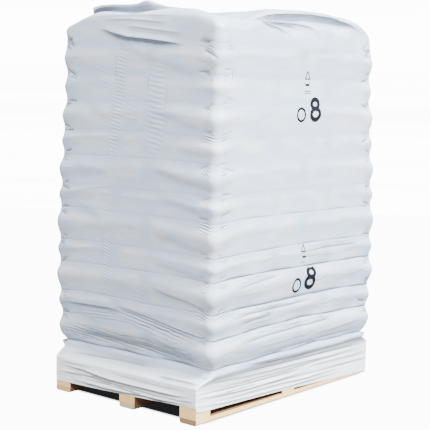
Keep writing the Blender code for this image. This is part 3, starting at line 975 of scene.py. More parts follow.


# Broad painted shade under bulges and overhangs and in hollows: side, how much, reach, and the line along it
BROAD_SHADE_LINES = (
    ("left", 0.50, 0.019, ((0.44, 0.262), (0.15, 0.262), (-0.15, 0.254), (-0.44, 0.228))),
    ("left", 0.26, 0.050, ((0.46, 0.330), (0.15, 0.315), (-0.15, 0.290), (-0.44, 0.250))),
    ("left", 0.34, 0.013, ((0.235, 1.540), (0.04, 1.496), (-0.19, 1.474), (-0.30, 1.464))),
    ("left", 0.14, 0.016, ((0.10, 1.535), (-0.06, 1.522), (-0.20, 1.510), (-0.32, 1.500))),
    ("left", 0.45, 0.010, ((-0.41, 1.474), (-0.38, 1.482), (-0.34, 1.488))),
    ("front", 0.20, 0.020, ((-0.36, 1.592), (-0.10, 1.596), (0.15, 1.592), (0.42, 1.566))),
    ("front", 0.16, 0.022, ((-0.34, 1.575), (-0.18, 1.562), (-0.04, 1.556), (0.10, 1.552))),
)


NOTCH_LINE = ((0.474, 0.056), (0.450, 0.034), (0.434, 0.012), (0.410, -0.006))  # Y, and rise from the groove
NOTCH_REACH = 0.011


def far_notches():
    """Painted shade under each layer's bulge at the corner behind the short side, where the film is gathered
    most.
    """
    found = []
    for level in LEVELS[2:-1]:
        line = [(place, level + rise) for place, rise in NOTCH_LINE]
        found.append(("left", rng.uniform(0.50, 0.90), NOTCH_REACH, line))
    return tuple(found)


BROAD_SHADE_LINES += far_notches()


def broad_shade_marks(heights):
    """For the material: how much broad painted shade each point takes, from 0 to 1."""
    found = np.zeros(heights.shape)
    for side, amount, reach, line in BROAD_SHADE_LINES:
        own, away, share = near_line(side, heights, line)
        here = amount * fold_ends(share) * np.exp(-((away / reach) ** 2))
        found[:, own] = np.maximum(found[:, own], here)
    return found


# Painted shade in the tuck's gap, along Y: it opens at its far end
TUCK_SHADE = {
    "left": (
        (-0.22, 0.0), (-0.16, 0.25), (-0.05, 0.40), (0.06, 0.35), (0.16, 0.60), (0.24, 1.0), (0.325, 1.0),
        (0.345, 0.0),
    ),
    "right": ((-0.20, 0.0), (0.0, 0.3), (0.18, 0.2), (0.24, 0.0)),
    "front": NO_TUCK,
    "back": NO_TUCK,
}


TUCK_SHADE_ROWS = (0.0, 0.9, 1.0, 0.9, 0.15)  # share of that shade in each row of the grid, from the edge in
# The film on top takes painted shade from this gap to the sacks
TOP_BRIDGED = 0.012  # how far the film on top is from the sacks


def film_shape():
    """The film's grid of points."""
    x, y, z = stack(skirt_rows(), ledge_rows(), load_rows(), roll_rows(), tuck_rows(), top_rows())
    first = FIRST_LOAD_ROW
    last = first + LOAD_ROWS
    heights = unrolled_heights(z)
    film, gap = stretch_film(z[first:last])
    bridged = np.full(z.shape, TOP_BRIDGED)
    bridged[first:last] = gap
    bridged[:SKIRT_ROWS] = 0.0
    moved = np.zeros(z.shape)
    moved[first:last] = film
    for row in range(last, len(z)):
        moved[row] = film[-1] * max(0.0, 1 - (row - last + 1) / (ROLL_ROWS + 4))
    moved += film_folds(heights)
    moved += unevenness(x, y, z)
    moved[: SKIRT_ROWS + 1] = np.maximum(moved[: SKIRT_ROWS + 1], SKIRT_LEAST)
    normal = normals_of(x, y, z)
    above, sharp, shade = crease_marks(heights)
    tuck = last + ROLL_ROWS
    # The tuck's rows take its painted shade in full, with no crease relief
    above[tuck : tuck + 4] = 0.0
    sharp[tuck : tuck + 4] = 0.0
    for row, share in enumerate(TUCK_SHADE_ROWS):
        shade[tuck + row] = share * by_side(TUCK_SHADE)
    marks = wrinkle_marks(heights) + (above, sharp, shade, bridged, broad_shade_marks(heights))
    return np.stack([x, y, z], axis=-1) + normal * moved[..., None], marks


# What the material reads at each point of the film
FILM_MARKS = (
    "ripple_phase", "ripple_height", "above_crease", "crease_height", "crease_shade", "bridged", "broad_painted_shade",
)


def finish_mesh(shape, name, smooth):
    """The mesh of a finished shape."""
    mesh = bpy.data.meshes.new(name)
    shape.to_mesh(mesh)
    shape.free()
    mesh.polygons.foreach_set("use_smooth", [smooth] * len(mesh.polygons))
    return mesh


def film_mesh(name, grid, marks):
    """One sheet: a flat grid rolled round the load, joined at its ends and along the weld on top."""
    rows = len(grid)
    shape = bmesh.new()
    layers = [shape.verts.layers.float.new(mark) for mark in FILM_MARKS]
    bmesh.ops.create_grid(shape, x_segments=COLUMNS, y_segments=rows - 1, size=1.0)
    shape.verts.ensure_lookup_table()
    for row in range(rows):
        for column in range(COLUMNS + 1):
            point = shape.verts[row * (COLUMNS + 1) + column]
            point.co = grid[row][column % COLUMNS]
            for layer, values in zip(layers, marks):
                point[layer] = values[row][column % COLUMNS]
    bmesh.ops.remove_doubles(shape, verts=shape.verts[:], dist=1e-6)
    weld = [edge for edge in shape.edges if edge.is_boundary and edge.verts[0].co.z > 1.5]
    bmesh.ops.contextual_create(shape, geom=weld)
    bmesh.ops.recalc_face_normals(shape, faces=shape.faces[:])
    return finish_mesh(shape, name, smooth=True)


FILM_COOL = "#bccadb"
FILM_WARM = "#d1d3d8"
# Painted shade of the film over hollows
FILM_PAINTED_GAP_SHADE = "#b4c2d4"
# Painted light of the film low on the pallet's edge
FILM_SKIRT_PAINTED_LIGHT = "#f6f5f4"
# Colour of the painted shade in creases, folds, hollows and the tuck's gap
CREASE_PAINTED_SHADE = "#63666e"
CRUMPLE_HEIGHT = 0.0006  # of the noise that the fine creases are cut from
PLEAT_HEIGHT = 0.0032  # the same for the hem's pleats
CREASE_ABOVE = 0.0060  # how far a sharp crease falls away above its line
CREASE_BELOW = 0.0022
SHADE_ABOVE = 0.0015  # the same, for its dark line
SHADE_BELOW = 0.0050
KNOT = "#a06a3c"
WOOD_GRIME = "#c8a276"
# Painted shade of the wood inside the pallet
WOOD_PAINTED_SHADE = "#6a3622"
RING_PITCH = 0.0035
RING_WAVER = 14.0
SACK_WHITE = "#f0f1f1"
SACK_WORN = "#dcdee0"


def linear(hex_colour):
    """An sRGB hex colour as the linear values that the shader takes."""
    values = [int(hex_colour[place : place + 2], 16) / 255 for place in (1, 3, 5)]
    return [v / 12.92 if v <= 0.04045 else ((v + 0.055) / 1.055) ** 2.4 for v in values] + [1.0]


def fill_inputs(tree, node, inputs):
    """Gives each input its value, or links it to a socket or to a node's first output."""
    for name, source in inputs.items():
        if isinstance(source, bpy.types.Node):
            source = next(socket for socket in source.outputs if socket.enabled)
        if isinstance(source, bpy.types.NodeSocket):
            tree.links.new(source, node.inputs[name])
        else:
            node.inputs[name].default_value = source


def add_node(tree, kind, inputs=None, **settings):
    """A node with its settings, which name its properties or its inputs."""
    node = tree.nodes.new("ShaderNode" + kind)
    for name, value in settings.items():
        if hasattr(node, name):
            setattr(node, name, value)
        else:
            node.inputs[name.replace("_", " ")].default_value = value
    fill_inputs(tree, node, inputs or {})
    return node


def new_material(name):
    """A material, its tree, its shader, and the place on the object that patterns follow."""
    material = bpy.data.materials.new(name)
    material.use_nodes = True
    tree = material.node_tree
    return material, tree, tree.nodes["Principled BSDF"], add_node(tree, "TexCoord").outputs["Object"]


def mix_colours(tree, share, first, second):
    """Between two colours by a share. Each is an sRGB hex colour or a node."""
    first, second = (linear(colour) if isinstance(colour, str) else colour for colour in (first, second))
    return add_node(tree, "Mix", {"Factor": share, "A": first, "B": second}, data_type="RGBA")


def fall_away(tree, above, reach_above, reach_below):
    """1 on a line, falling to nothing over one distance above it and another below it."""
    upper = add_node(tree, "Math", {0: above, 1: -1 / reach_above}, operation="MULTIPLY")
    lower = add_node(tree, "Math", {0: above, 1: 1 / reach_below}, operation="MULTIPLY")
    falling = add_node(tree, "Math", {0: upper, 1: lower}, operation="MINIMUM")
    return add_node(tree, "Math", {0: falling}, operation="EXPONENT")


def outside_of(tree, place, half_length, half_width):
    """How far a place is outside a rectangle about the pallet's middle. Inside it is below zero."""
    apart = add_node(tree, "VectorMath", {0: place}, operation="ABSOLUTE")
    past = add_node(tree, "VectorMath", {0: apart, 1: (half_length, half_width, 0.0)}, operation="SUBTRACT")
    sides = add_node(tree, "SeparateXYZ", {"Vector": past})
    return add_node(tree, "Math", {0: sides.outputs["X"], 1: sides.outputs["Y"]}, operation="MAXIMUM")


def film_colour(tree, marks, patches, low):
    """Cool white with warmer patches, painted bluer and darker over hollows and dark in folds as shade, and
    painted whiter on the pallet's edge as light.
    """
    tone = add_node(
        tree, "MapRange", {"Value": patches},
        From_Min=0.38, From_Max=0.62, interpolation_type="SMOOTHSTEP",
    )
    body = mix_colours(tree, tone, FILM_COOL, FILM_WARM)
    # Painted shade: where it bridges a hollow, with air behind it, the film is painted bluer and darker than
    # on the white sacks
    painted_gap_shade = add_node(tree, "MapRange", {"Value": marks["bridged"]}, From_Max=0.020, To_Max=0.75)
    body = mix_colours(tree, painted_gap_shade, body, FILM_PAINTED_GAP_SHADE)
    # Painted light: low down, on the pallet's edge, the film is painted whiter, as where the floor lights it
    body = mix_colours(tree, low, body, FILM_SKIRT_PAINTED_LIGHT)
    # Painted shade: dark lines along creases and folds, and broader painted shade under bulges and overhangs
    fading = fall_away(tree, marks["above_crease"], SHADE_ABOVE, SHADE_BELOW)
    lines = add_node(tree, "Math", {0: fading, 1: marks["crease_shade"]}, operation="MULTIPLY")
    dark = add_node(tree, "Math", {0: lines, 1: marks["broad_painted_shade"]}, operation="MAXIMUM")
    return mix_colours(tree, dark, body, CREASE_PAINTED_SHADE)


def film_relief(tree, place, marks, low):
    """Height of the ripples, fine creases, sharp creases and the hem's pleats, in metres."""
    waver = add_node(tree, "TexNoise", {"Vector": place}, Scale=22.0, Detail=1.0)
    bent = add_node(tree, "Math", {0: waver, 1: 0.5, 2: marks["ripple_phase"]}, operation="MULTIPLY_ADD")
    turn = add_node(tree, "Math", {0: bent, 1: 2 * math.pi}, operation="MULTIPLY")
    wave = add_node(tree, "Math", {0: turn}, operation="SINE")
    ripple = add_node(tree, "Math", {0: wave, 1: marks["ripple_height"]}, operation="MULTIPLY")
    # Fine creases, about 25 mm long and 5 mm apart, drawn 0.2 mm high, which is more than the real ones
    fine_place = add_node(tree, "Mapping", {"Vector": place, "Scale": (1.0, 1.0, 3.4)})
    fine = add_node(tree, "TexNoise", {"Vector": fine_place}, Scale=48.0, Detail=4.0, Roughness=0.6)
    crumple = add_node(tree, "Math", {0: fine, 1: CRUMPLE_HEIGHT, 2: ripple}, operation="MULTIPLY_ADD")
    near = fall_away(tree, marks["above_crease"], CREASE_ABOVE, CREASE_BELOW)
    creased = add_node(
        tree, "Math", {0: near, 1: marks["crease_height"], 2: crumple}, operation="MULTIPLY_ADD",
    )
    # Pleats gathered along the hem, about 300 mm long and 14 mm apart
    pleat_place = add_node(tree, "Mapping", {"Vector": place, "Scale": (2.2, 2.2, 75.0)})
    pleats = add_node(tree, "TexNoise", {"Vector": pleat_place}, Scale=1.0, Detail=3.0, Roughness=0.6)
    gathered = add_node(tree, "Math", {0: pleats, 1: low}, operation="MULTIPLY")
    return add_node(tree, "Math", {0: gathered, 1: PLEAT_HEIGHT, 2: creased}, operation="MULTIPLY_ADD")


def stretched_polyethylene():
    """Blown polyethylene hood, stretched on cold: cool white, satin, with long soft waves and small ripples
    that catch the light, clearer and shinier where it is pulled tight."""
    material, tree, shader, place = new_material("stretched_polyethylene")
    marks = {
        name: add_node(tree, "Attribute", attribute_name=name).outputs["Fac"] for name in FILM_MARKS
    }
    # Stretch marks lie along the sides: about 160 mm long and 40 mm high
    along = add_node(tree, "Mapping", {"Vector": place, "Scale": (1.0, 1.0, 4.0)})
    patches = add_node(tree, "TexNoise", {"Vector": along}, Scale=6.0, Detail=3.0, Roughness=0.55)
    height = add_node(tree, "SeparateXYZ", {"Vector": place}).outputs["Z"]
    low = add_node(tree, "MapRange", {"Value": height}, From_Min=0.19, From_Max=0.14)
    gloss = add_node(
        tree, "MapRange", {"Value": patches}, From_Min=0.3, From_Max=0.7, To_Min=0.26, To_Max=0.42,
    )
    relief = film_relief(tree, place, marks, low)
    bump = add_node(tree, "Bump", {"Height": relief}, Strength=1.0, Distance=1.0)
    colour = film_colour(tree, marks, patches, low)
    fill_inputs(tree, shader, {"Base Color": colour, "Roughness": gloss, "IOR": 1.51, "Normal": bump})
    return material


def wood_rings(tree, place, grain, pith):
    """Growth rings 3.5 mm apart about the pith: 0 in the early wood, 0.75 in the late wood."""
    # The grain wavers slowly along the wood, over about 300 mm, and quickly across it
    stretch = (3.0, 26.0, 26.0) if grain == "X" else (26.0, 3.0, 26.0)
    slow = add_node(tree, "Mapping", {"Vector": place, "Scale": stretch})
    waver = add_node(tree, "TexNoise", {"Vector": slow}, Scale=0.5, Detail=2.0)
    flat = (0.0, 1.0, 1.0) if grain == "X" else (1.0, 0.0, 1.0)
    moved = (0.0, -pith[0], -pith[1]) if grain == "X" else (-pith[0], 0.0, -pith[1])
    section = add_node(tree, "Mapping", {"Vector": place, "Location": moved, "Scale": flat})
    radius = add_node(tree, "VectorMath", {0: section}, operation="LENGTH")
    rings = add_node(tree, "Math", {0: radius, 1: 2 * math.pi / RING_PITCH}, operation="MULTIPLY")
    bent = add_node(tree, "Math", {0: waver, 1: RING_WAVER, 2: rings}, operation="MULTIPLY_ADD")
    wave = add_node(tree, "Math", {0: bent}, operation="SINE")
    return add_node(
        tree, "MapRange", {"Value": wave},
        From_Min=0.1, From_Max=1.0, To_Max=0.75, interpolation_type="SMOOTHSTEP",
    )


def wood_stains_and_shade(tree, place, grain, wood, end_grain):
    """Lays knots, dirt, dark ends and painted shade on the wood behind the pallet's edges over plain wood."""
    # Knots, one in about 200 mm
    knot_size = (4.5, 9.0, 9.0) if grain == "X" else (9.0, 4.5, 9.0)
    knot_place = add_node(tree, "Mapping", {"Vector": place, "Scale": knot_size})
    cell = add_node(tree, "TexVoronoi", {"Vector": knot_place}, Scale=1.0, Randomness=1.0)
    knot = add_node(
        tree, "MapRange", {"Value": cell},
        From_Min=0.17, From_Max=0.09, interpolation_type="SMOOTHSTEP",
    )
    wood = mix_colours(tree, knot, wood, KNOT)
    # Weathering and dirt, in patches about 60 mm across
    grime = add_node(tree, "TexNoise", {"Vector": place}, Scale=16.0, Detail=4.0, Roughness=0.65)
    dirt = add_node(tree, "MapRange", {"Value": grime}, From_Min=0.50, From_Max=0.75, To_Max=0.45)
    wood = mix_colours(tree, dirt, wood, WOOD_GRIME)
    axes = add_node(tree, "SeparateXYZ", {"Vector": place})
    reach = add_node(tree, "Math", {0: axes.outputs[grain]}, operation="ABSOLUTE")
    half = PALLET_HALF_LENGTH if grain == "X" else PALLET_HALF_WIDTH
    end = add_node(
        tree, "MapRange", {"Value": reach}, From_Min=half - 0.006, From_Max=half - 0.001, To_Max=0.92,
    )
    wood = mix_colours(tree, end, wood, end_grain)
    # Painted shade: wood behind the pallet's edges is painted dark red-brown, as the shade inside the pallet
    outside = outside_of(tree, place, PALLET_HALF_LENGTH - 0.0015, PALLET_HALF_WIDTH - 0.0015)
    inside = add_node(tree, "MapRange", {"Value": outside}, From_Min=0.0, From_Max=-0.003, To_Max=0.85)
    return mix_colours(tree, inside, wood, WOOD_PAINTED_SHADE)


def sawn_pine(name, grain, pith, light, dark, end_grain):
    """Sawn pine: growth rings about a pith outside the board, so the faces show long lines and the ends show
    arcs, with knots, a woolly sawn surface and darker ends where the wood drinks water."""
    material, tree, shader, place = new_material(name)
    late = wood_rings(tree, place, grain, pith)
    colour = wood_stains_and_shade(tree, place, grain, mix_colours(tree, late, light, dark), end_grain)
    # Sawn fibres about 1.5 mm apart, drawn coarser than the real half millimetre so that they show
    fibre_size = (30.0, 650.0, 650.0) if grain == "X" else (650.0, 30.0, 650.0)
    fibre_place = add_node(tree, "Mapping", {"Vector": place, "Scale": fibre_size})
    fibre = add_node(tree, "TexNoise", {"Vector": fibre_place}, Scale=1.0, Detail=3.0)
    relief = add_node(tree, "Math", {0: fibre, 1: 1.6, 2: late}, operation="MULTIPLY_ADD")
    bump = add_node(tree, "Bump", {"Height": relief}, Strength=0.6, Distance=0.0005)
    fill_inputs(tree, shader, {"Base Color": colour, "Roughness": 0.78, "Normal": bump})
    return material


def add_object(name, data):
    made = bpy.data.objects.new(name, data)
    bpy.context.scene.collection.objects.link(made)
    return made


def add_piece(name, mesh, material):
    piece = add_object(name, mesh)
    mesh.materials.append(material)
    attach(piece, "root")
    return piece


film_points, film_marks = film_shape()
film = add_piece(
    "film_hood", film_mesh("film_hood", film_points, film_marks), stretched_polyethylene(),
)
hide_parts("stretch_hood")


SACK_INSET = 0.003  # from the film's reach to the sacks' own
LOWEST_HALF_SIZE = (0.530, 0.398)  # of the layer that is pressed flat on the deck


def sack_places(layer):
    """Middle and size of the five sacks of a layer: two end to end, and three side by side."""
    half_length, half_width = load_half_size((LEVELS[layer - 1] + LEVELS[layer]) / 2)
    half_length += BULGE - SACK_INSET
    half_width += BULGE - SACK_INSET
    if layer == 1:
        half_length, half_width = LOWEST_HALF_SIZE
    pair_width = half_width - PAIR_JOINT
    trio_length = half_width + PAIR_JOINT
    turned = 1 if layer % 2 == 0 else -1
    pair_y = -turned * (PAIR_JOINT + pair_width / 2)
    trio_y = turned * (trio_length / 2 - PAIR_JOINT)
    trio_width = half_length * 2 / 3
    pair = [(turned * way * half_length / 2, pair_y, half_length, pair_width) for way in (-1, 1)]
    trio = [(turned * way * half_length * 2 / 3, trio_y, trio_width, trio_length) for way in (-1, 0, 1)]
    return pair + trio


def plain_sack():
    """A cube cut into small faces, which each sack is shaped from."""
    shape = bmesh.new()
    bmesh.ops.create_cube(shape, size=2.0)
    bmesh.ops.subdivide_edges(shape, edges=shape.edges[:], cuts=11, use_grid_fill=True)
    return finish_mesh(shape, "plain_sack", smooth=True)


CLEARANCE = 0.0020  # from a sack to the film, and to the middle of the joint beside it
LAYER_GAP = 0.0012  # from a sack to the one that rests on it
TOP_CLEARANCE = 0.012  # the same for the top sacks, which the film only covers loosely
SQUARE_CORNERS = 7  # how square a sack is, seen from above
SQUARE_EDGES = 3.4  # and seen from its side
DRAWN_SIDES = 0.012  # share of its half size that a sack's sides are drawn in
SACK_FULLNESS = 1.06
SACK_CREASES = 0.05
PRESS_REACH = 0.06  # how far from the film a sack still looks for it
PRESS_MARGIN = 0.0002


def fill_sack(points, layer, place, film_tree):
    """A filled sack: full in the middle, thin at its rim, sides drawn in, and pressed by its neighbours."""
    x, y, length, width = place
    start = Vector((x * 7, y * 7, layer * 3.1))
    clear = TOP_CLEARANCE if layer == LAYERS else CLEARANCE
    for point in points:
        across, along, up = point.co
        flat = (abs(across) ** SQUARE_CORNERS + abs(along) ** SQUARE_CORNERS) ** (1 / SQUARE_CORNERS)
        reach = max((flat ** SQUARE_EDGES + abs(up) ** SQUARE_EDGES) ** (1 / SQUARE_EDGES), 1e-6)
        across, along, up = across / reach, along / reach, up / reach
        spot_x = x + across * (1 - DRAWN_SIDES * (1 - along * along)) * (length / 2 - CLEARANCE)
        spot_y = y + along * (1 - DRAWN_SIDES * (1 - across * across)) * (width / 2 - CLEARANCE)
        crease = noise.noise(Vector((spot_x * 16, spot_y * 16, up * 1.5)) + start)
        up = max(-1.0, min(1.0, up * SACK_FULLNESS + SACK_CREASES * crease * (1 - up * up)))
        low = float(line_height(layer - 1, spot_x, spot_y)) + LAYER_GAP / 2
        high = float(line_height(layer, spot_x, spot_y)) - LAYER_GAP / 2
        spot = Vector((spot_x, spot_y, low + (up + 1) / 2 * (high - low)))
        found, facing, _, _ = film_tree.find_nearest(spot, PRESS_REACH)
        if found is not None and (spot - found).dot(facing) > -clear:
            spot = found - facing * (clear + PRESS_MARGIN)
        point.co = spot


def add_sack_layers(film_tree, material):
    template = plain_sack()
    for layer in range(1, LAYERS + 1):
        shape = bmesh.new()
        for place in sack_places(layer):
            before = len(shape.verts)
            shape.from_mesh(template)
            shape.verts.ensure_lookup_table()
            fill_sack(shape.verts[before:], layer, place, film_tree)
        bmesh.ops.recalc_face_normals(shape, faces=shape.faces[:])
        name = f"sacks_{layer:02d}"
        sacks = add_piece(name, finish_mesh(shape, name, smooth=True), material)
        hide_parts(f"sack_layer_{layer:02d}")


def sack_polyethylene():
    """Opaque white sack film: a soft sheen, broken by the small dents that the pellets press into it."""
    material, tree, shader, place = new_material("sack_polyethylene")
    # Handling marks, in patches about 100 mm across
    patches = add_node(tree, "TexNoise", {"Vector": place}, Scale=10.0, Detail=3.0)
    colour = mix_colours(tree, patches, SACK_WHITE, SACK_WORN)
    sheen = add_node(
        tree, "MapRange", {"Value": patches}, From_Min=0.3, From_Max=0.7, To_Min=0.34, To_Max=0.52,
    )
    # Pellets 6 mm across behind the film, drawn 9 mm across so that they show
    pellets = add_node(tree, "TexVoronoi", {"Vector": place}, Scale=110.0, Randomness=1.0)
    folds = add_node(tree, "TexNoise", {"Vector": place}, Scale=30.0, Detail=3.0, Roughness=0.6)
    relief = add_node(tree, "Math", {0: folds, 1: 3.0, 2: pellets}, operation="MULTIPLY_ADD")
    bump = add_node(tree, "Bump", {"Height": relief}, Strength=0.6, Distance=0.0008)
    fill_inputs(tree, shader, {"Base Color": colour, "Roughness": sheen, "Normal": bump})
    return material


film_surface = BVHTree.FromPolygons(
    [point.co for point in film.data.vertices], [face.vertices for face in film.data.polygons]
)
add_sack_layers(film_surface, sack_polyethylene())

# Flexo print on the film's long side, in plain marks: X and Z of each one's middle, its half size, how far
# it is turned and the width of its strokes
PRINTS = (
    ("figure", (0.082, 1.225), (0.030, 0.044), 3, 0.0190),
    ("ring", (-0.016, 1.203), (0.028, 0.026), 0, 0.0095),
    ("triangle", (0.030, 1.366), (0.017, 0.016), 0, 0.0050),
    ("bar", (0.028, 1.326), (0.014, 0.0), 0, 0.0090),
    ("bar", (0.030, 1.300), (0.022, 0.0), 0, 0.0030),
    ("bar", (0.030, 1.291), (0.026, 0.0), 0, 0.0024),
    ("figure", (0.068, 0.516), (0.030, 0.044), -9, 0.0190),
    ("ring", (-0.026, 0.492), (0.027, 0.027), -9, 0.0095),
    ("triangle", (0.013, 0.647), (0.016, 0.015), -6, 0.0050),
    ("bar", (0.023, 0.608), (0.014, 0.0), -6, 0.0080),
    ("bar", (0.019, 0.586), (0.018, 0.0), -6, 0.0028),
)
INK = "#0e1014"
THIN_INK = "#3a3d44"
INK_LIFT = 0.0005  # clear of the film, so that the two don't share a surface


def stroke_paths(kind, half_width, half_height):
    """The middle line of each stroke of a mark, about its own middle."""
    turns = np.linspace(0, 2 * math.pi, 49)
    if kind == "bar":
        return [[(x, 0.0) for x in np.linspace(-half_width, half_width, 9)]]
    if kind == "ring":
        return [[(half_width * math.cos(t), half_height * math.sin(t)) for t in turns]]
    if kind == "figure":
        # Two loops, the upper one smaller
        upper = [(0.80 * half_width * math.cos(t), half_height * (0.50 + 0.44 * math.sin(t))) for t in turns]
        lower = [(half_width * math.cos(t), half_height * (-0.46 + 0.52 * math.sin(t))) for t in turns]
        return [upper, lower]
    tip = (0.0, half_height)
    corners = np.array((tip, (-half_width, -half_height), (half_width, -half_height), tip))
    sides = zip(corners[:-1], corners[1:])
    return [[tuple(a + (b - a) * t) for t in np.linspace(0, 1, 7)] for a, b in sides]


def print_stroke(shape, path, width, middle, turned, film_tree):
    """One inked line, laid on the film wherever that is."""
    made = bmesh.ops.create_grid(shape, x_segments=len(path) - 1, y_segments=2, size=1.0)["verts"]
    path = np.array(path)
    ahead = np.gradient(path, axis=0)
    if np.hypot(*(path[0] - path[-1])) < 1e-6:
        ahead[0] = ahead[-1] = path[1] - path[-2]
    ahead /= np.linalg.norm(ahead, axis=1)[:, None]
    cos, sin = math.cos(math.radians(turned)), math.sin(math.radians(turned))
    for number, point in enumerate(made):
        step, side = number % len(path), number // len(path) - 1
        x = path[step][0] - side * width / 2 * ahead[step][1]
        z = path[step][1] + side * width / 2 * ahead[step][0]
        start = Vector((middle[0] + cos * x - sin * z, -1.0, middle[1] + sin * x + cos * z))
        found = film_tree.ray_cast(start, Vector((0, 1, 0)))[0]
        point.co = found - Vector((0, INK_LIFT, 0))


def add_prints(film_tree, material):
    shape = bmesh.new()
    for kind, middle, (half_width, half_height), turned, width in PRINTS:
        for path in stroke_paths(kind, half_width, half_height):
            print_stroke(shape, path, width, middle, turned, film_tree)
    bmesh.ops.remove_doubles(shape, verts=shape.verts[:], dist=1e-5)
    shape.normal_update()
    for face in shape.faces:
        if face.normal.y > 0:
            face.normal_flip()
    bmesh.ops.solidify(shape, geom=shape.faces[:], thickness=0.0003)
    add_piece("film_prints", finish_mesh(shape, "film_prints", smooth=False), material)


def flexo_ink():
    """Black flexographic ink on film: thin and slightly patchy, duller than the film."""
    material, tree, shader, place = new_material("flexo_ink")
    # Pinholes and thin spots about 3 mm across
    spots = add_node(tree, "TexNoise", {"Vector": place}, Scale=320.0, Detail=2.0)
    thin = add_node(tree, "MapRange", {"Value": spots}, From_Min=0.58, From_Max=0.75, To_Max=0.35)
    bump = add_node(tree, "Bump", {"Height": spots}, Strength=0.2, Distance=0.0002)
    fill_inputs(
        tree, shader,
        {
            "Base Color": mix_colours(tree, thin, INK, THIN_INK),
            "Roughness": 0.6,
            "Specular IOR Level": 0.2,
            "Normal": bump,
        },
    )
    return material


# Which pine each board and block is cut from: grain, place of the pith, light and dark wood
PINE = {
    "runner_front": ("X", (-0.330, -0.055), "#ffd892", "#e8b264", "#8e664c"),
    "runner_middle": ("X", (-0.080, -0.070), "#f4dcaa", "#dcae70", "#c4b084"),
    "runner_back": ("X", (0.400, -0.050), "#f6d8a2", "#daa566", "#d8ac72"),
    "block_front": ("X", (-0.300, 0.110), "#ffdc94", "#f6c67c", "#fccf8a"),
    "block_middle": ("X", (0.050, -0.020), "#fae0ae", "#edc288", "#fabd74"),
    "block_back": ("X", (0.330, 0.130), "#fae2b4", "#eec68e", "#fcc684"),
    "stringer_board": ("Y", (0.180, 0.020), "#f0d8a8", "#d4a970", "#e6c088"),
    "deck_board": ("X", (0.060, 0.080), "#f0d9ac", "#d6ae78", "#e6c088"),
}
add_prints(film_surface, flexo_ink())
for group, (grain, pith, light, dark, end_grain) in PINE.items():
    wood = sawn_pine(f"sawn_pine_{group}", grain, pith, light, dark, end_grain)
    for name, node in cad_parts.items():
        if name.startswith(group):
            node.data.materials.clear()
            node.data.materials.append(wood)

# Camera: fitted to the pallet's corners and the layer lines
CAMERA_PLACE = (-3.8670, -3.2349, 1.3131)
CAMERA_YAW = 49.85
CAMERA_PITCH = -6.40
CAMERA_ROLL = 1.02
CAMERA_LENS = 95.98


def add_camera():
    yaw, pitch, roll = (math.radians(v) for v in (CAMERA_YAW, CAMERA_PITCH, CAMERA_ROLL))
    ahead = Vector((math.cos(pitch) * math.sin(yaw), math.cos(pitch) * math.cos(yaw), math.sin(pitch)))
    right = ahead.cross(Vector((0, 0, 1))).normalized()
    up = right.cross(ahead)
    right_rolled = math.cos(roll) * right + math.sin(roll) * up
    up_rolled = -math.sin(roll) * right + math.cos(roll) * up
    lens = bpy.data.cameras.new("camera")
    lens.lens = CAMERA_LENS
    lens.sensor_width = 36
    camera = add_object("camera", lens)
    axes = Matrix((right_rolled, up_rolled, -ahead)).transposed()
    camera.matrix_world = Matrix.Translation(CAMERA_PLACE) @ axes.to_4x4()
    bpy.context.scene.camera = camera


def add_light(name, place, aim, size, power, colour):
    lamp = bpy.data.lights.new(name, "AREA")
    lamp.size = size
    lamp.energy = power
    lamp.color = linear(colour)[:3]
    light = add_object(name, lamp)
    light.location = place
    light.rotation_euler = (Vector(aim) - Vector(place)).to_track_quat("-Z", "Y").to_euler()


FLOOR_AHEAD = 14.0  # from the load towards the camera, and to each side
FLOOR_BEYOND = 7.0  # from the load to where the backdrop turns up
BACKDROP_RADIUS = 2.5
WALL_HEIGHT = 7.0
FLOOR_GLOW = 12.0
# Edge of the floor's glow, and of the painted shadow under the pallet
GLOW_EDGE = (0.548, 0.392)  # half length and half width of the dark patch under the pallet
FLOOR_PALE = "#f7f7f7"
# Painted shadow on the floor under the pallet
FLOOR_PAINTED_SHADOW = "#454648"
FLOOR_BOUNCE = "#a0a4a8"
SKY = "#f7f9fc"
SKY_BELOW = 0.66
SKY_ABOVE = 1.42
SKY_BEHIND = 0.20
BEHIND_WAY = (0.764, 0.645, 0.0)  # from the camera past the load


def floor_sweep():
    """A floor that turns up into a backdrop far behind the load."""
    shape = bmesh.new()
    start = shape.verts.new((-FLOOR_AHEAD, 0, 0))
    end = shape.verts.new((FLOOR_BEYOND, 0, 0))
    shape.edges.new((start, end))
    bend = bmesh.ops.spin(
        shape, geom=[end], cent=(FLOOR_BEYOND, 0, BACKDROP_RADIUS), axis=(0, -1, 0), dvec=(0, 0, 0),
        angle=math.radians(90), steps=16, use_merge=False, use_duplicate=False,
    )
    top = [point for point in bend["geom_last"] if isinstance(point, bmesh.types.BMVert)]
    wall = bmesh.ops.extrude_vert_indiv(shape, verts=top)
    bmesh.ops.translate(shape, verts=wall["verts"], vec=(0, 0, WALL_HEIGHT))
    sweep = bmesh.ops.extrude_edge_only(shape, edges=shape.edges[:])
    moved = [point for point in sweep["geom"] if isinstance(point, bmesh.types.BMVert)]
    bmesh.ops.translate(shape, verts=shape.verts[:], vec=(0, -FLOOR_AHEAD, 0))
    bmesh.ops.translate(shape, verts=moved, vec=(0, 2 * FLOOR_AHEAD, 0))
    turned = Matrix.Rotation(math.radians(90 - CAMERA_YAW), 3, "Z")
    bmesh.ops.rotate(shape, verts=shape.verts[:], cent=(0, 0, 0), matrix=turned)
    # Just under the runners, so that the two don't share a surface
    bmesh.ops.translate(shape, verts=shape.verts[:], vec=(0, 0, -0.001))
    return finish_mesh(shape, "floor", smooth=True)


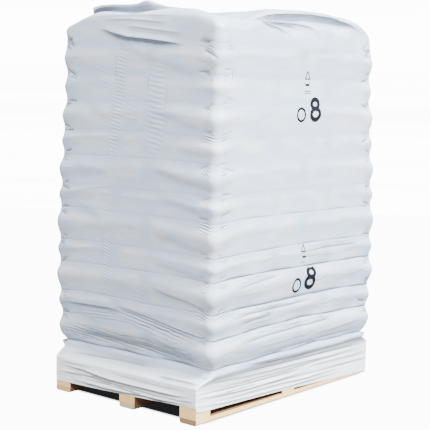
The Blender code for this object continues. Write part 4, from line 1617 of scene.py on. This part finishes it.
def add_bounce_floor():
    """What the load sees of the floor: the camera sees the glowing one, this one only sends light back up."""
    floor = add_object("floor_bounce", floor_sweep())
    material, tree, shader, _ = new_material("bounce_floor")
    fill_inputs(tree, shader, {"Base Color": linear(FLOOR_BOUNCE), "Roughness": 0.9})
    floor.data.materials.append(material)
    floor.visible_camera = False


def add_floor():
    """The pale floor that the camera sees."""
    floor = add_object("floor", floor_sweep())
    material, tree, shader, place = new_material("pale_floor")
    # The glow ends at the pallet, and the floor's colour is painted dark under the deck as its shadow
    outside = outside_of(tree, place, *GLOW_EDGE)
    glow = add_node(
        tree, "MapRange", {"Value": outside},
        From_Min=-0.01, From_Max=0.02, To_Max=FLOOR_GLOW, interpolation_type="SMOOTHSTEP",
    )
    open_floor = add_node(tree, "MapRange", {"Value": outside}, From_Min=-0.01, From_Max=0.02)
    fill_inputs(
        tree, shader,
        {
            "Base Color": mix_colours(tree, open_floor, FLOOR_PAINTED_SHADOW, FLOOR_PALE),
            "Roughness": 0.9,
            "Emission Color": (1, 1, 1, 1),
            "Emission Strength": glow,
        },
    )
    floor.data.materials.append(material)
    floor.visible_diffuse = False
    floor.visible_glossy = False


def add_world():
    """Sky above, dimmer below and behind the load."""
    world = bpy.data.worlds.new("studio")
    world.use_nodes = True
    tree = world.node_tree
    way = add_node(tree, "TexCoord").outputs["Generated"]
    up = add_node(tree, "SeparateXYZ", {"Vector": way}).outputs["Z"]
    above = add_node(
        tree, "MapRange", {"Value": up},
        From_Min=-0.3, From_Max=0.5, To_Min=SKY_BELOW, To_Max=SKY_ABOVE,
    )
    beyond = add_node(tree, "VectorMath", {0: way, 1: BEHIND_WAY}, operation="DOT_PRODUCT")
    behind = add_node(
        tree, "MapRange", {"Value": beyond},
        From_Min=-0.1, From_Max=0.7, To_Min=1.0, To_Max=SKY_BEHIND,
    )
    strength = add_node(tree, "Math", {0: above, 1: behind}, operation="MULTIPLY")
    fill_inputs(tree, tree.nodes["Background"], {"Color": linear(SKY), "Strength": strength})
    bpy.context.scene.world = world


add_camera()
add_light("key", (0.4, -7.4, 7.9), (0, 0, 0.8), 2.0, 5900, "#f1f7ff")
add_light("left_key", (-6.4, -2.8, 8.4), (-0.6, 0, 0.8), 1.6, 2190, "#f4f8ff")
add_floor()
add_bounce_floor()
add_world()
